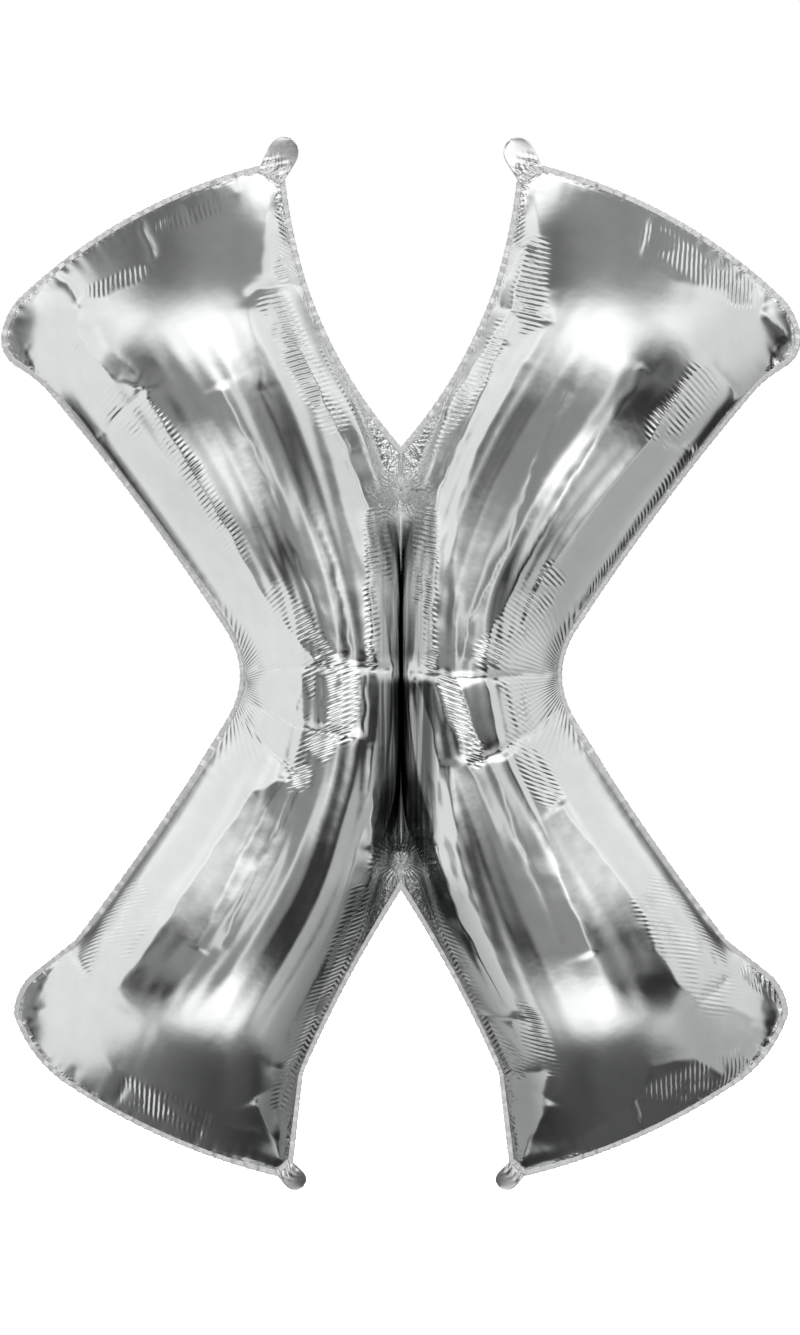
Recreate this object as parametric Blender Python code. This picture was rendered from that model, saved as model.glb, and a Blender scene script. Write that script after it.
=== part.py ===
"""Letter foil balloon: an inflated film letter X with a sealed edge, two crotch welds and four hanging tabs.

Frame: metres, +Z up, +X to the reader's right, and the letter's front faces -Y.
The origin is the middle of the letter, on the plane where its two films are sealed together.
"""

import math

import bmesh
import bpy
import numpy as np

MM = 0.001

# Driving sizes, in millimetres
SEAM_WIDTH = 3.6
SEAM_THICKNESS = 1.2
WALL = 2.0
GAP = 0.3
PARTING = 0.15
ARM_DEPTH = 77.0
WAIST_DEPTH = 70.5
WAIST_SPREAD = 190.0
ARM_REACH = 94.0
ARM_FULLNESS = 0.6
CAP_REACH = 150.0
UPPER_CAP_FOOT = 285.0
LOWER_CAP_FOOT = -300.0
VALLEY_FLOOR = 42.0
VALLEY_REACH = 144.0
VALLEY_SPREAD = 7.0
VALLEY_SHARPNESS = 0.8
SPIKE_HALF_WIDTH = 1.5
DISC_RADIUS = 7.5
UPPER_DISC_HEIGHT = 144.0
LOWER_DISC_HEIGHT = -159.0
WELD_THICKNESS = 1.2
TAB_THICKNESS = 1.4

# Fineness of the meshes
COLUMNS = 9
EDGE_STEP = 9.0
DISC_SIDES = 12
TAB_SIDES = 8

# Edges of the right half of the letter, clockwise from the upper crotch to the lower one.
# Columns: x, height, how far the edge swells towards +X on its way to the next point
EDGE = (
    (0.0, 179.3, 7.6),
    (76.8, 311.7, 2.1),
    (94.6, 397.1, 0.0),
    (116.0, 408.9, 14.8),
    (313.3, 299.4, 2.2),
    (326.6, 270.0, 4.6),
    (312.0, 244.0, -1.0),
    (289.2, 225.9, -3.9),
    (143.0, 29.8, -11.3),
    (142.6, -43.7, -3.0),
    (266.0, -223.0, 0.0),
    (302.7, -252.0, 3.4),
    (316.4, -284.0, 5.0),
    (278.2, -337.8, 8.8),
    (101.3, -416.3, 0.0),
    (88.1, -404.4, 0.0),
    (80.0, -332.0, 3.4),
    (0.0, -182.6, 0.0),
)
UPPER_TAB_ROOT = 2
LOWER_TAB_ROOT = 14

# Rows of the film grid, from the top corner of the tab's root down to the upper crotch weld, and from the lower
# crotch weld down to the lower tab's root. Columns: height that the span ends at, its rows
UPPER_ROW_SPANS = (
    (312.0, 6),
    (222.0, 7),
    (155.0, 3),
)
LOWER_ROW_SPANS = (
    (-170.0, 1),
    (-232.0, 3),
    (-330.0, 7),
)
LOWER_END_ROWS = 6
MIDDLE_ROWS = 12

# Hanging tabs. Columns: name, side of the letter, its root on the edge, length
TABS = (
    ("top_left_tab", -1.0, UPPER_TAB_ROOT, 30.0),
    ("top_right_tab", 1.0, UPPER_TAB_ROOT, 30.0),
    ("bottom_left_tab", -1.0, LOWER_TAB_ROOT, 22.0),
    ("bottom_right_tab", 1.0, LOWER_TAB_ROOT, 22.0),
)

# Finishes. Columns: colour, roughness, metallic
FINISHES = {
    "film": ((0.80, 0.82, 0.81, 1.0), 0.16, 1.0),
    "seam": ((0.74, 0.76, 0.75, 1.0), 0.30, 1.0),
    "weld": ((0.70, 0.71, 0.71, 1.0), 0.38, 1.0),
    "tab": ((0.76, 0.78, 0.77, 1.0), 0.24, 1.0),
}


def clear_scene():
    """Removes every object, so that the letter is alone in the scene."""
    for old in list(bpy.data.objects):
        bpy.data.objects.remove(old, do_unlink=True)


def arc_points(start, end, swell):
    """Points from start up to, but not with, end, on a parabola whose middle lies swell to the +X side of the chord."""
    start = np.asarray(start, float)
    chord = np.asarray(end, float) - start
    length = np.hypot(*chord)
    side = np.array([-chord[1], chord[0]]) / length
    if side[0] < 0.0:
        side = -side
    count = max(1, int(round(length / EDGE_STEP)))
    along = np.arange(count) / count
    lift = 4.0 * swell * along * (1.0 - along)
    return start + along[:, None] * chord + lift[:, None] * side


def right_outline():
    """The edge of the letter's right half, clockwise from the upper crotch to the lower one, and each corner's place."""
    pieces = [arc_points(a[:2], b[:2], a[2]) for a, b in zip(EDGE, EDGE[1:])]
    pieces.append(np.array([EDGE[-1][:2]]))
    corners = np.cumsum([0] + [len(piece) for piece in pieces[:-1]])
    return np.concatenate(pieces), corners


def whole(right):
    """The closed clockwise outline that a right half and its mirror image make. Both ends lie on the middle line."""
    left = right[-2:0:-1] * (-1.0, 1.0)
    return np.concatenate([right, left])


def inset(outline, distance):
    """The closed clockwise outline moved inwards by distance, with its corners kept sharp."""
    ahead = np.roll(outline, -1, axis=0) - outline
    ahead /= np.hypot(ahead[:, 0], ahead[:, 1])[:, None]
    inward = np.stack([ahead[:, 1], -ahead[:, 0]], axis=1)
    before = np.roll(inward, 1, axis=0)
    sharpness = 1.0 + (inward * before).sum(axis=1)
    return outline + distance * (inward + before) / sharpness[:, None]


def width_at(edge, heights):
    """The x of an edge at each of these heights."""
    order = np.argsort(edge[:, 1])
    return np.interp(heights, edge[order, 1], edge[order, 0])


def slot_half_width(heights, spare):
    """Half the width, at each height, of a spike that runs from its crotch into a round disc, grown by spare."""
    width = np.zeros_like(heights)
    reach = DISC_RADIUS + spare
    for centre, sign in ((UPPER_DISC_HEIGHT, 1.0), (LOWER_DISC_HEIGHT, -1.0)):
        away = (heights - centre) * sign
        disc = np.sqrt(np.clip(reach ** 2 - away ** 2, 0.0, None))
        spike = np.where(away > 0.0, SPIKE_HALF_WIDTH + spare, 0.0)
        width = np.maximum(width, np.maximum(disc, spike))
    return width


def row_heights(top, upper_root, lower_root, bottom, spare):
    """Heights of the film's rows from top to bottom, and the first and last rows where the two lobes meet."""
    reach = DISC_RADIUS + spare
    disc = reach * np.cos(2.0 * np.pi * np.arange(DISC_SIDES // 2) / DISC_SIDES)
    heights = [top, upper_root]
    for end, rows in UPPER_ROW_SPANS:
        heights.extend(np.linspace(heights[-1], end, rows + 1)[1:])
    heights.extend(UPPER_DISC_HEIGHT + disc)
    first = len(heights)
    heights.extend(np.linspace(UPPER_DISC_HEIGHT - reach, LOWER_DISC_HEIGHT + reach, MIDDLE_ROWS + 1))
    last = len(heights)
    heights.extend(LOWER_DISC_HEIGHT - disc[::-1])
    for end, rows in LOWER_ROW_SPANS + ((lower_root, LOWER_END_ROWS), (bottom, 1)):
        heights.extend(np.linspace(heights[-1], end, rows + 1)[1:])
    return np.array(heights), first, last


def distance_to(points, curve):
    """The distance from each point to the nearest place on an open curve."""
    start = curve[:-1]
    run = curve[1:] - start
    size = np.maximum((run ** 2).sum(axis=1), 1e-9)
    along = np.clip(((points[:, None] - start) * run).sum(axis=2) / size, 0.0, 1.0)
    apart = points[:, None] - start - along[:, :, None] * run
    return np.hypot(apart[:, :, 0], apart[:, :, 1]).min(axis=1)


def film_sides(spare):
    """The heights of the rows of a film that lies spare inside the outer one, and where each row starts and ends.

    A row of the right half runs from the notch side to the outer side. Between the crotch welds it starts on the
    middle line. The first and the last of those rows come back too, with the heights of the two crotches.
    """
    outline, corners = right_outline()
    edge = inset(whole(outline), SEAM_WIDTH + spare)[: len(outline)]
    highest = corners[UPPER_TAB_ROOT + 1]
    lowest = corners[LOWER_TAB_ROOT]
    upper_root = edge[corners[UPPER_TAB_ROOT], 1]
    lower_root = edge[corners[LOWER_TAB_ROOT + 1], 1]
    heights, first, last = row_heights(edge[highest, 1], upper_root, lower_root, edge[lowest, 1], GAP + spare)
    outer_x = width_at(edge[highest : lowest + 1], heights)
    upper_x = width_at(edge[: highest + 1], heights)
    lower_x = width_at(edge[lowest:], heights)
    notch_x = np.where(heights > 0.0, upper_x, lower_x)
    notch_x[first:last] = 0.0
    return heights, notch_x, outer_x, first, last, (edge[0, 1], edge[-1, 1])


def film_edge():
    """The closed edge of the outer skin with a point at each row, taken straight to each crotch."""
    heights, notch_x, outer_x, _, _, crotches = film_sides(0.0)
    upper = heights > crotches[0]
    lower = heights < crotches[1]
    notch = np.stack([notch_x, heights], axis=1)
    outer = np.stack([outer_x, heights], axis=1)
    upper_notch = notch[upper][::-1][:-1]
    lower_notch = notch[lower][::-1][1:]
    ends = np.array([[0.0, crotches[0]], [0.0, crotches[1]]])
    right = np.concatenate([ends[:1], upper_notch, outer, lower_notch, ends[1:]])
    return whole(right), len(right) - 1


def swelling(apart, reach):
    """0 at the sealed edge and 1 a reach away from it, level there: 1 - (1 - apart / reach) squared."""
    return 1.0 - (1.0 - np.clip(apart / reach, 0.0, 1.0)) ** 2


def film_depth(plan, sides, caps, spare):
    """How far the film stands out at each place (x, height).

    It swells steeply from the arms' sides, gently from their rounded ends, and sinks into a narrow valley whose floor
    is deepest midway between the welds.
    """
    from_side = np.min([distance_to(plan, side) for side in sides], axis=0)
    from_cap = np.min([distance_to(plan, cap) for cap in caps], axis=0)
    waist = np.exp(-((plan[:, 1] / WAIST_SPREAD) ** 4))
    full = ARM_DEPTH + (WAIST_DEPTH - ARM_DEPTH) * waist - spare
    lobe = full * swelling(from_side, ARM_REACH) ** ARM_FULLNESS * swelling(from_cap, CAP_REACH)
    below = UPPER_DISC_HEIGHT - DISC_RADIUS - plan[:, 1]
    above = plan[:, 1] - LOWER_DISC_HEIGHT - DISC_RADIUS
    floor = (VALLEY_FLOOR - spare) * swelling(np.minimum(below, above), VALLEY_REACH)
    beside = np.maximum(plan[:, 0] - spare, 0.0) / VALLEY_SPREAD
    return lobe + (np.minimum(floor, lobe) - lobe) * np.exp(-(beside**VALLEY_SHARPNESS))


def film_points(spare):
    """The right half of a film that lies spare inside the outer one: (rows, columns, 3), and its middle rows."""
    heights, notch_x, outer_x, first, last, _ = film_sides(spare)
    notch_x = np.maximum(notch_x, slot_half_width(heights, GAP + spare))
    notch_x[first:last] = 0.0
    notch_x[[0, -1]] = outer_x[[0, -1]]

    share = 0.5 - 0.5 * np.cos(np.pi * np.arange(COLUMNS + 1) / COLUMNS)
    across = notch_x[:, None] + (outer_x - notch_x)[:, None] * share
    flat = np.stack([across, np.broadcast_to(heights[:, None], across.shape)], axis=2)
    plan = flat.reshape(-1, 2)
    outer = np.stack([outer_x, heights], axis=1)
    notch = np.stack([notch_x, heights], axis=1)
    in_arm = (heights < UPPER_CAP_FOOT) & (heights > LOWER_CAP_FOOT)
    sides = [outer[in_arm], notch[: first + 1], notch[last - 1 :]]
    caps = [outer[heights > UPPER_CAP_FOOT], outer[heights < LOWER_CAP_FOOT]]
    depth = film_depth(plan, sides, caps, spare)
    points = np.stack([plan[:, 0], -PARTING - depth, plan[:, 1]], axis=1)
    return points.reshape(*across.shape, 3), first, last


def film_mesh():
    """The points and faces of one film: an outer and an inner skin, WALL apart, joined round their edges."""
    skins = [film_points(spare) for spare in (0.0, WALL)]
    rows, columns = skins[0][0].shape[:2]
    first, last = skins[0][1:]
    right = np.arange(rows * columns).reshape(rows, columns)
    left = right + rows * columns
    left[first:last, 0] = right[first:last, 0]
    for lobe in (right, left):
        lobe[0] = lobe[0, 0]
        lobe[-1] = lobe[-1, 0]
    quads = []
    for lobe in (right, left[:, ::-1]):
        corners = [lobe[:-1, :-1], lobe[:-1, 1:], lobe[1:, 1:], lobe[1:, :-1]]
        quads.append(np.stack(corners, axis=2).reshape(-1, 4))
    quads = np.concatenate(quads)
    ends = np.stack([quads, np.roll(quads, -1, axis=1)], axis=2).reshape(-1, 2)
    ends = ends[ends[:, 0] != ends[:, 1]]
    _, place, shared = np.unique(np.sort(ends, axis=1), axis=0, return_inverse=True, return_counts=True)
    rim = ends[shared[place.reshape(-1)] == 1]

    mirror = np.array([-1.0, 1.0, 1.0])
    points = np.concatenate([np.concatenate([skin[0].reshape(-1, 3), skin[0].reshape(-1, 3) * mirror]) for skin in skins])
    one = 2 * rows * columns
    faces = [list(dict.fromkeys(face)) for face in quads.tolist()]
    faces += [list(dict.fromkeys(face))[::-1] for face in (quads + one).tolist()]
    faces += [[b, a, a + one, b + one] for a, b in rim.tolist()]
    used = np.unique(np.concatenate([np.asarray(face) for face in faces]))
    place = np.full(len(points), -1)
    place[used] = np.arange(len(used))
    return points[used], [[int(place[i]) for i in face] for face in faces]


def plate_mesh(outline, thickness, y=0.0):
    """The points and faces of a flat plate of this outline, an array of (x, height), centred on the plane at y."""
    count = len(outline)
    half = 0.5 * thickness
    front = np.insert(outline, 1, y - half, axis=1)
    back = np.insert(outline, 1, y + half, axis=1)
    faces = [list(range(count)), list(range(2 * count - 1, count - 1, -1))]
    faces += [[i, i + count, (i + 1) % count + count, (i + 1) % count] for i in range(count)]
    return np.concatenate([front, back]), faces


def ring_mesh(outer, inner, thickness):
    """The points and faces of a flat band between two outlines with as many points each."""
    count = len(outer)
    half = 0.5 * thickness
    loops = [np.insert(line, 1, y, axis=1) for line, y in ((outer, -half), (inner, -half), (inner, half), (outer, half))]
    faces = []
    for side in range(4):
        near = side * count
        far = (side + 1) % 4 * count
        faces += [[near + i, near + (i + 1) % count, far + (i + 1) % count, far + i] for i in range(count)]
    return np.concatenate(loops), faces


def weld_outline(centre, sign, crotch):
    """A spike that starts at the crotch and runs into a round disc about centre. Sign is +1 where the crotch is above."""
    turn = 2.0 * math.pi * np.arange(DISC_SIDES + 1) / DISC_SIDES
    turn[[0, -1]] = np.array([1.0, -1.0]) * math.asin(SPIKE_HALF_WIDTH / DISC_RADIUS)
    disc = np.stack([DISC_RADIUS * np.sin(turn), centre + sign * DISC_RADIUS * np.cos(turn)], axis=1)
    spike = np.array([[-SPIKE_HALF_WIDTH, crotch], [SPIKE_HALF_WIDTH, crotch]])
    return np.concatenate([disc, spike])


def tab_outline(side, root, length):
    """A tab as wide as its root on the letter's edge, which it leaves at right angles, with a round free end."""
    first = np.array(EDGE[root][:2])
    second = np.array(EDGE[root + 1][:2])
    across = second - first
    width = np.hypot(*across)
    across /= width
    away = np.array([-across[1], across[0]])
    half = 0.5 * width - GAP
    start = 0.5 * (first + second) + GAP * away
    turn = np.linspace(0.0, math.pi, TAB_SIDES + 1)
    neck = length - half
    end = start + neck * away + half * (np.cos(turn)[:, None] * across + np.sin(turn)[:, None] * away)
    outline = np.concatenate([[start - half * across, start + half * across], end])
    return outline * (side, 1.0)


def finish(name, kind):
    """A principled material with the colour, roughness and metallic value of this kind of film."""
    colour, roughness, metallic = FINISHES[kind]
    material = bpy.data.materials.new(name + "_film")
    material.use_nodes = True
    shader = material.node_tree.nodes["Principled BSDF"]
    shader.inputs["Base Color"].default_value = colour
    shader.inputs["Roughness"].default_value = roughness
    shader.inputs["Metallic"].default_value = metallic
    material.diffuse_color = colour
    return material


def add_piece(name, shape, kind, parent, smooth=False):
    """One object of this name from points in millimetres and faces, turned to face outwards."""
    points, faces = shape
    mesh = bpy.data.meshes.new(name)
    mesh.from_pydata([tuple(point) for point in np.asarray(points) * MM], [], faces)
    build = bmesh.new()
    build.from_mesh(mesh)
    bmesh.ops.recalc_face_normals(build, faces=build.faces)
    build.to_mesh(mesh)
    build.free()
    if smooth:
        mesh.shade_smooth()
        mesh.set_sharp_from_angle(angle=math.radians(50.0))
    mesh.materials.append(finish(name, kind))
    piece = bpy.data.objects.new(name, mesh)
    piece.parent = parent
    bpy.context.scene.collection.objects.link(piece)
    return piece


def build_letter():
    """Builds the whole letter under one empty at its middle."""
    letter = bpy.data.objects.new("letter", None)
    bpy.context.scene.collection.objects.link(letter)

    film = film_mesh()
    add_piece("front_panel", film, "film", letter, smooth=True)
    back = add_piece("back_panel", film, "film", letter, smooth=True)
    back.rotation_euler.z = math.pi

    edge, lower_end = film_edge()
    seam_inner = inset(edge, -GAP)
    add_piece("perimeter_seam", ring_mesh(inset(edge, -SEAM_WIDTH), seam_inner, SEAM_THICKNESS), "seam", letter)

    for name, centre, sign, corner in (
        ("upper_crotch_weld", UPPER_DISC_HEIGHT, 1.0, 0),
        ("lower_crotch_weld", LOWER_DISC_HEIGHT, -1.0, lower_end),
    ):
        crotch = seam_inner[corner, 1] - sign * GAP
        add_piece(name, plate_mesh(weld_outline(centre, sign, crotch), WELD_THICKNESS), "weld", letter)

    for name, side, root, length in TABS:
        add_piece(name, plate_mesh(tab_outline(side, root, length), TAB_THICKNESS), "tab", letter)


clear_scene()
build_letter()
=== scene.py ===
"""The looks of an inflated foil letter balloon: its creased films, sealed edge, crotch welds and film tabs."""

import logging
import math
from dataclasses import dataclass, field
from enum import Enum
from typing import Any, Optional, Sequence, Union

import bpy
import numpy as np
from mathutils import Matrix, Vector


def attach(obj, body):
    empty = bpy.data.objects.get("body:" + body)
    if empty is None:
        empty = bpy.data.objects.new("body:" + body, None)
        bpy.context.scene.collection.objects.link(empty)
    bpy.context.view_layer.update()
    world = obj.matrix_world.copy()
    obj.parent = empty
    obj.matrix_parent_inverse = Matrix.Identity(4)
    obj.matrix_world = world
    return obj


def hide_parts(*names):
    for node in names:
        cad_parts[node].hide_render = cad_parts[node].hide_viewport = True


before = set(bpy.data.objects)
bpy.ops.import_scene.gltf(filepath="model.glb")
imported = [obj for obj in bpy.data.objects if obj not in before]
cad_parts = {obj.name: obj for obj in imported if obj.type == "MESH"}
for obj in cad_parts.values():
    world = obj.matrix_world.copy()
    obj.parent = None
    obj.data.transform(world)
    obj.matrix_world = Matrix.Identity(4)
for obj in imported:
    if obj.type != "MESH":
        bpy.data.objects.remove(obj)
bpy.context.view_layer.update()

LOG = logging.getLogger("letter_balloon")
MM = 0.001
TAU = 2.0 * math.pi
FAR = 1e3
DRIFT_LENGTHS = 7.3
DRIFT_TURN = 1.3

Array = np.ndarray


# Small numeric helpers


def smooth(value: Array) -> Array:
    """Eases a value from 0 to 1: 3 t² - 2 t³, held at both ends."""
    held = np.clip(value, 0.0, 1.0)
    return held * held * (3.0 - 2.0 * held)


def bell(value: Array) -> Array:
    """A bell over 0: exp(-t²)."""
    return np.exp(-(value**2))


def unit(vectors: Array) -> Array:
    """The vectors at length one."""
    return vectors / np.maximum(np.linalg.norm(vectors, axis=-1, keepdims=True), 1e-9)


def evened(line: Array, rounds: int) -> Array:
    """Evens a line out: each round takes half of a point and a quarter of both neighbours, and holds the ends.

    Args:
        line: numbers (n,) or points (n, k), changed in place.
        rounds: how many times.

    Returns:
        The same array.
    """
    for _ in range(rounds):
        line[1:-1] = 0.25 * line[:-2] + 0.5 * line[1:-1] + 0.25 * line[2:]
    return line


def resample(curve: Array, share: Array) -> Array:
    """Points on a polyline at shares of its length.

    Args:
        curve: points (n, k).
        share: shares from 0 to 1.

    Returns:
        Points (m, k), by linear steps along the curve's length.
    """
    steps = np.linalg.norm(np.diff(curve, axis=0), axis=1)
    reach = np.concatenate([[0.0], np.cumsum(steps)])
    return np.stack([np.interp(share * reach[-1], reach, column) for column in curve.T], axis=1)


def length_of(curve: Array) -> float:
    """The length of a polyline."""
    return float(np.linalg.norm(np.diff(curve, axis=0), axis=1).sum())


def round_trip(outline: Array) -> tuple[Array, float]:
    """How far round a closed outline each point lies, and the whole way round."""
    steps = np.linalg.norm(np.roll(outline, -1, axis=0) - outline, axis=1)
    return np.concatenate([[0.0], np.cumsum(steps)[:-1]]), float(steps.sum())


def ripple(place: Array, lengths: Sequence[float], seed: int, period: Optional[float] = None) -> Array:
    """A wandering wave: the mean of sines of several wavelengths with drifting phase.

    Args:
        place: distance along the wave, mm.
        lengths: wavelengths, mm.
        seed: picks the phases.
        period: where given, the wave repeats after this many mm.

    Returns:
        Heights from about -1 to 1.
    """
    rng = np.random.default_rng(seed)
    total = np.zeros_like(place, dtype=float)
    for length in lengths:
        drifting = length * DRIFT_LENGTHS
        turns = 1.0 / length if period is None else round(period / length) / period
        slow = 1.0 / drifting if period is None else max(1, round(period / drifting)) / period
        drift = DRIFT_TURN * np.sin(TAU * slow * place + rng.uniform(0.0, TAU))
        total = total + np.sin(TAU * turns * place + drift + rng.uniform(0.0, TAU))
    return total / len(lengths)


# Meshes


class Mesh:
    """Puts numpy points and faces into a Blender mesh object."""

    @staticmethod
    def make(name: str, points: Array, faces: Array, values: Optional[dict[str, Array]] = None) -> bpy.types.Object:
        """Makes a smooth-shaded object at the origin.

        Args:
            name: the object's name.
            points: points (n, 3) in metres.
            faces: corner numbers (m, 4) or (m, 3), facing outwards.
            values: named numbers, one per point.

        Returns:
            The linked object.
        """
        mesh = bpy.data.meshes.new(name)
        mesh.vertices.add(len(points))
        mesh.vertices.foreach_set("co", np.asarray(points, np.float32).ravel())
        mesh.loops.add(faces.size)
        mesh.loops.foreach_set("vertex_index", np.asarray(faces, np.int32).ravel())
        mesh.polygons.add(len(faces))
        mesh.polygons.foreach_set("loop_start", np.arange(0, faces.size, faces.shape[1], dtype=np.int32))
        mesh.polygons.foreach_set("use_smooth", np.ones(len(faces), bool))
        mesh.update(calc_edges=True)
        mesh.validate()
        for key, column in (values or {}).items():
            layer = mesh.attributes.new(key, "FLOAT", "POINT")
            layer.data.foreach_set("value", np.asarray(column, np.float32).ravel())
        made = bpy.data.objects.new(name, mesh)
        bpy.context.scene.collection.objects.link(made)
        return made

    @staticmethod
    def grid_quads(index: Array) -> Array:
        """Quads between the neighbours of a grid of point numbers (rows, columns)."""
        corners = [index[:-1, :-1], index[1:, :-1], index[1:, 1:], index[:-1, 1:]]
        return np.stack(corners, axis=-1).reshape(-1, 4)

    @staticmethod
    def loop_index(rings: int, sides: int, closed: bool) -> Array:
        """Point numbers of a tube's rings, with the first side repeated.

        Args:
            rings: number of rings.
            sides: points in a ring.
            closed: repeats the first ring too.

        Returns:
            Numbers (rings, sides + 1), with one row more where closed.
        """
        index = np.arange(rings * sides).reshape(rings, sides)
        index = np.concatenate([index, index[:, :1]], axis=1)
        return np.concatenate([index, index[:1]], axis=0) if closed else index

    @staticmethod
    def facing_out(points: Array, faces: Array) -> Array:
        """Turns a closed body's faces round where their signed volume is negative.

        Args:
            points: points (n, 3).
            faces: triangles or quads, all turning the same way.

        Returns:
            The faces, facing outwards.
        """
        corners = [points[column] - points.mean(axis=0) for column in faces.T]
        fans = zip(corners[1:], corners[2:])
        volume = sum(float(np.einsum("ij,ij->i", corners[0], np.cross(one, two)).sum()) for one, two in fans)
        return faces[:, ::-1] if volume < 0.0 else faces


# Shader maths


Value = Union["Link", float, int]


class Link:
    """A socket that adds Math nodes when it is used in an expression."""

    def __init__(self, shader: "Shader", socket: Optional[bpy.types.NodeSocket]) -> None:
        """Wraps a socket of a shader's node tree."""
        self.shader = shader
        self.socket = socket

    def maths(self, operation: str, *others: Value) -> "Link":
        """A Math node of this socket and others."""
        return self.shader.node("ShaderNodeMath", {"operation": operation}, self, *others)

    def __add__(self, other: Value) -> "Link":
        """Sum."""
        return self.maths("ADD", other)

    def __mul__(self, other: Value) -> "Link":
        """Product."""
        return self.maths("MULTIPLY", other)

    def __sub__(self, other: Value) -> "Link":
        """Difference."""
        return self.maths("SUBTRACT", other)

    def __rsub__(self, other: Value) -> "Link":
        """Difference from the right."""
        return self.shader.node("ShaderNodeMath", {"operation": "SUBTRACT"}, other, self)

    def __truediv__(self, other: Value) -> "Link":
        """Quotient."""
        return self.maths("DIVIDE", other)

    def sine(self) -> "Link":
        """Sine."""
        return self.maths("SINE")

    def size(self) -> "Link":
        """The number without its sign: the root of its square."""
        return (self * self).maths("SQRT")

    def fading(self) -> "Link":
        """exp(-t)."""
        return (0.0 - self).maths("EXPONENT")

    def step(self, low: float, high: float) -> "Link":
        """Eases from 0 at low to 1 at high."""
        settings = {"interpolation_type": "SMOOTHSTEP"}
        return self.shader.node("ShaderNodeMapRange", settings, self, low, high, 0.0, 1.0)


class Shader:
    """A node tree and short ways to fill it."""

    def __init__(self, tree: bpy.types.NodeTree) -> None:
        """Empties the tree."""
        self.tree = tree
        self.tree.nodes.clear()

    @staticmethod
    def of_material(name: str) -> tuple[bpy.types.Material, "Shader"]:
        """A new material and the shader that fills it."""
        material = bpy.data.materials.new(name)
        material.use_nodes = True
        return material, Shader(material.node_tree)

    def node(self, kind: str, settings: Optional[dict[str, Any]] = None, *inputs: Any, **named: Any) -> Link:
        """Adds a node and gives its first live output.

        Args:
            kind: the node's type.
            settings: attributes set before the sockets.
            inputs: values or links of the first sockets.
            named: values or links by socket name, with _ for a space.

        Returns:
            The first enabled output, if there is one.
        """
        made = self.tree.nodes.new(kind)
        for key, value in (settings or {}).items():
            setattr(made, key, value)
        for socket, value in zip(made.inputs, inputs):
            self.join(socket, value)
        for key, value in named.items():
            self.join(made.inputs[key.replace("_", " ")], value)
        return Link(self, next((output for output in made.outputs if output.enabled), None))

    def output(self, link: Link, name: str) -> Link:
        """Another output of the node that a link comes from."""
        return Link(self, link.socket.node.outputs[name])

    def join(self, socket: bpy.types.NodeSocket, value: Any) -> None:
        """Sets a socket's value or links it.

        Args:
            socket: an input.
            value: a link, a number, a vector or a colour.
        """
        if isinstance(value, Link):
            self.tree.links.new(value.socket, socket)
        else:
            socket.default_value = value

    def place(self) -> Link:
        """Object coordinates."""
        return self.output(self.node("ShaderNodeTexCoord"), "Object")

    def attribute(self, name: str) -> Link:
        """A named number of the mesh."""
        return self.output(self.node("ShaderNodeAttribute", {"attribute_name": name}), "Fac")

    def noise(self, place: Link, scale: float, detail: float = 2.0, rough: float = 0.5) -> Link:
        """Noise of about 0 to 1."""
        return self.node("ShaderNodeTexNoise", None, Vector=place, Scale=scale, Detail=detail, Roughness=rough)

    def mix(self, share: Value, first: Any, second: Any) -> Link:
        """A colour between two colours.

        Args:
            share: 0 for the first, 1 for the second.
            first: a colour or a link.
            second: a colour or a link.

        Returns:
            The colour.
        """
        made = self.tree.nodes.new("ShaderNodeMix")
        made.data_type = "RGBA"
        for key, value in (("Factor_Float", share), ("A_Color", first), ("B_Color", second)):
            self.join(next(s for s in made.inputs if s.identifier == key), value)
        return Link(self, next(s for s in made.outputs if s.identifier == "Result_Color"))

    def finish_metal(self, colour: Any, gloss: Link, height: Link) -> None:
        """Ends a material's tree with a bare metal surface.

        Args:
            colour: a colour or a link.
            gloss: its roughness.
            height: its bumps, in metres.
        """
        bump = self.node("ShaderNodeBump", None, Height=height, Strength=1.0, Distance=1.0)
        looks = {"Base_Color": colour, "Roughness": gloss, "Metallic": 1.0, "Normal": bump}
        self.node("ShaderNodeOutputMaterial", None, self.node("ShaderNodeBsdfPrincipled", None, **looks))


class Tint(Enum):
    """Colours of the letter's film and of the floor, and the dark tint of the painted shade on the film."""

    SILVER = (0.86, 0.872, 0.868, 1.0)
    SILVER_DEEP = (0.74, 0.765, 0.755, 1.0)
    # painted shade: the dark tint that the film's colour is drawn toward in the valley and beside the lower notch
    VALLEY_PAINTED_SHADE = (0.13, 0.135, 0.135, 1.0)
    SEAM = (0.86, 0.87, 0.865, 1.0)
    WELD = (0.76, 0.77, 0.77, 1.0)
    FLOOR = (0.90, 0.90, 0.90, 1.0)


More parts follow.
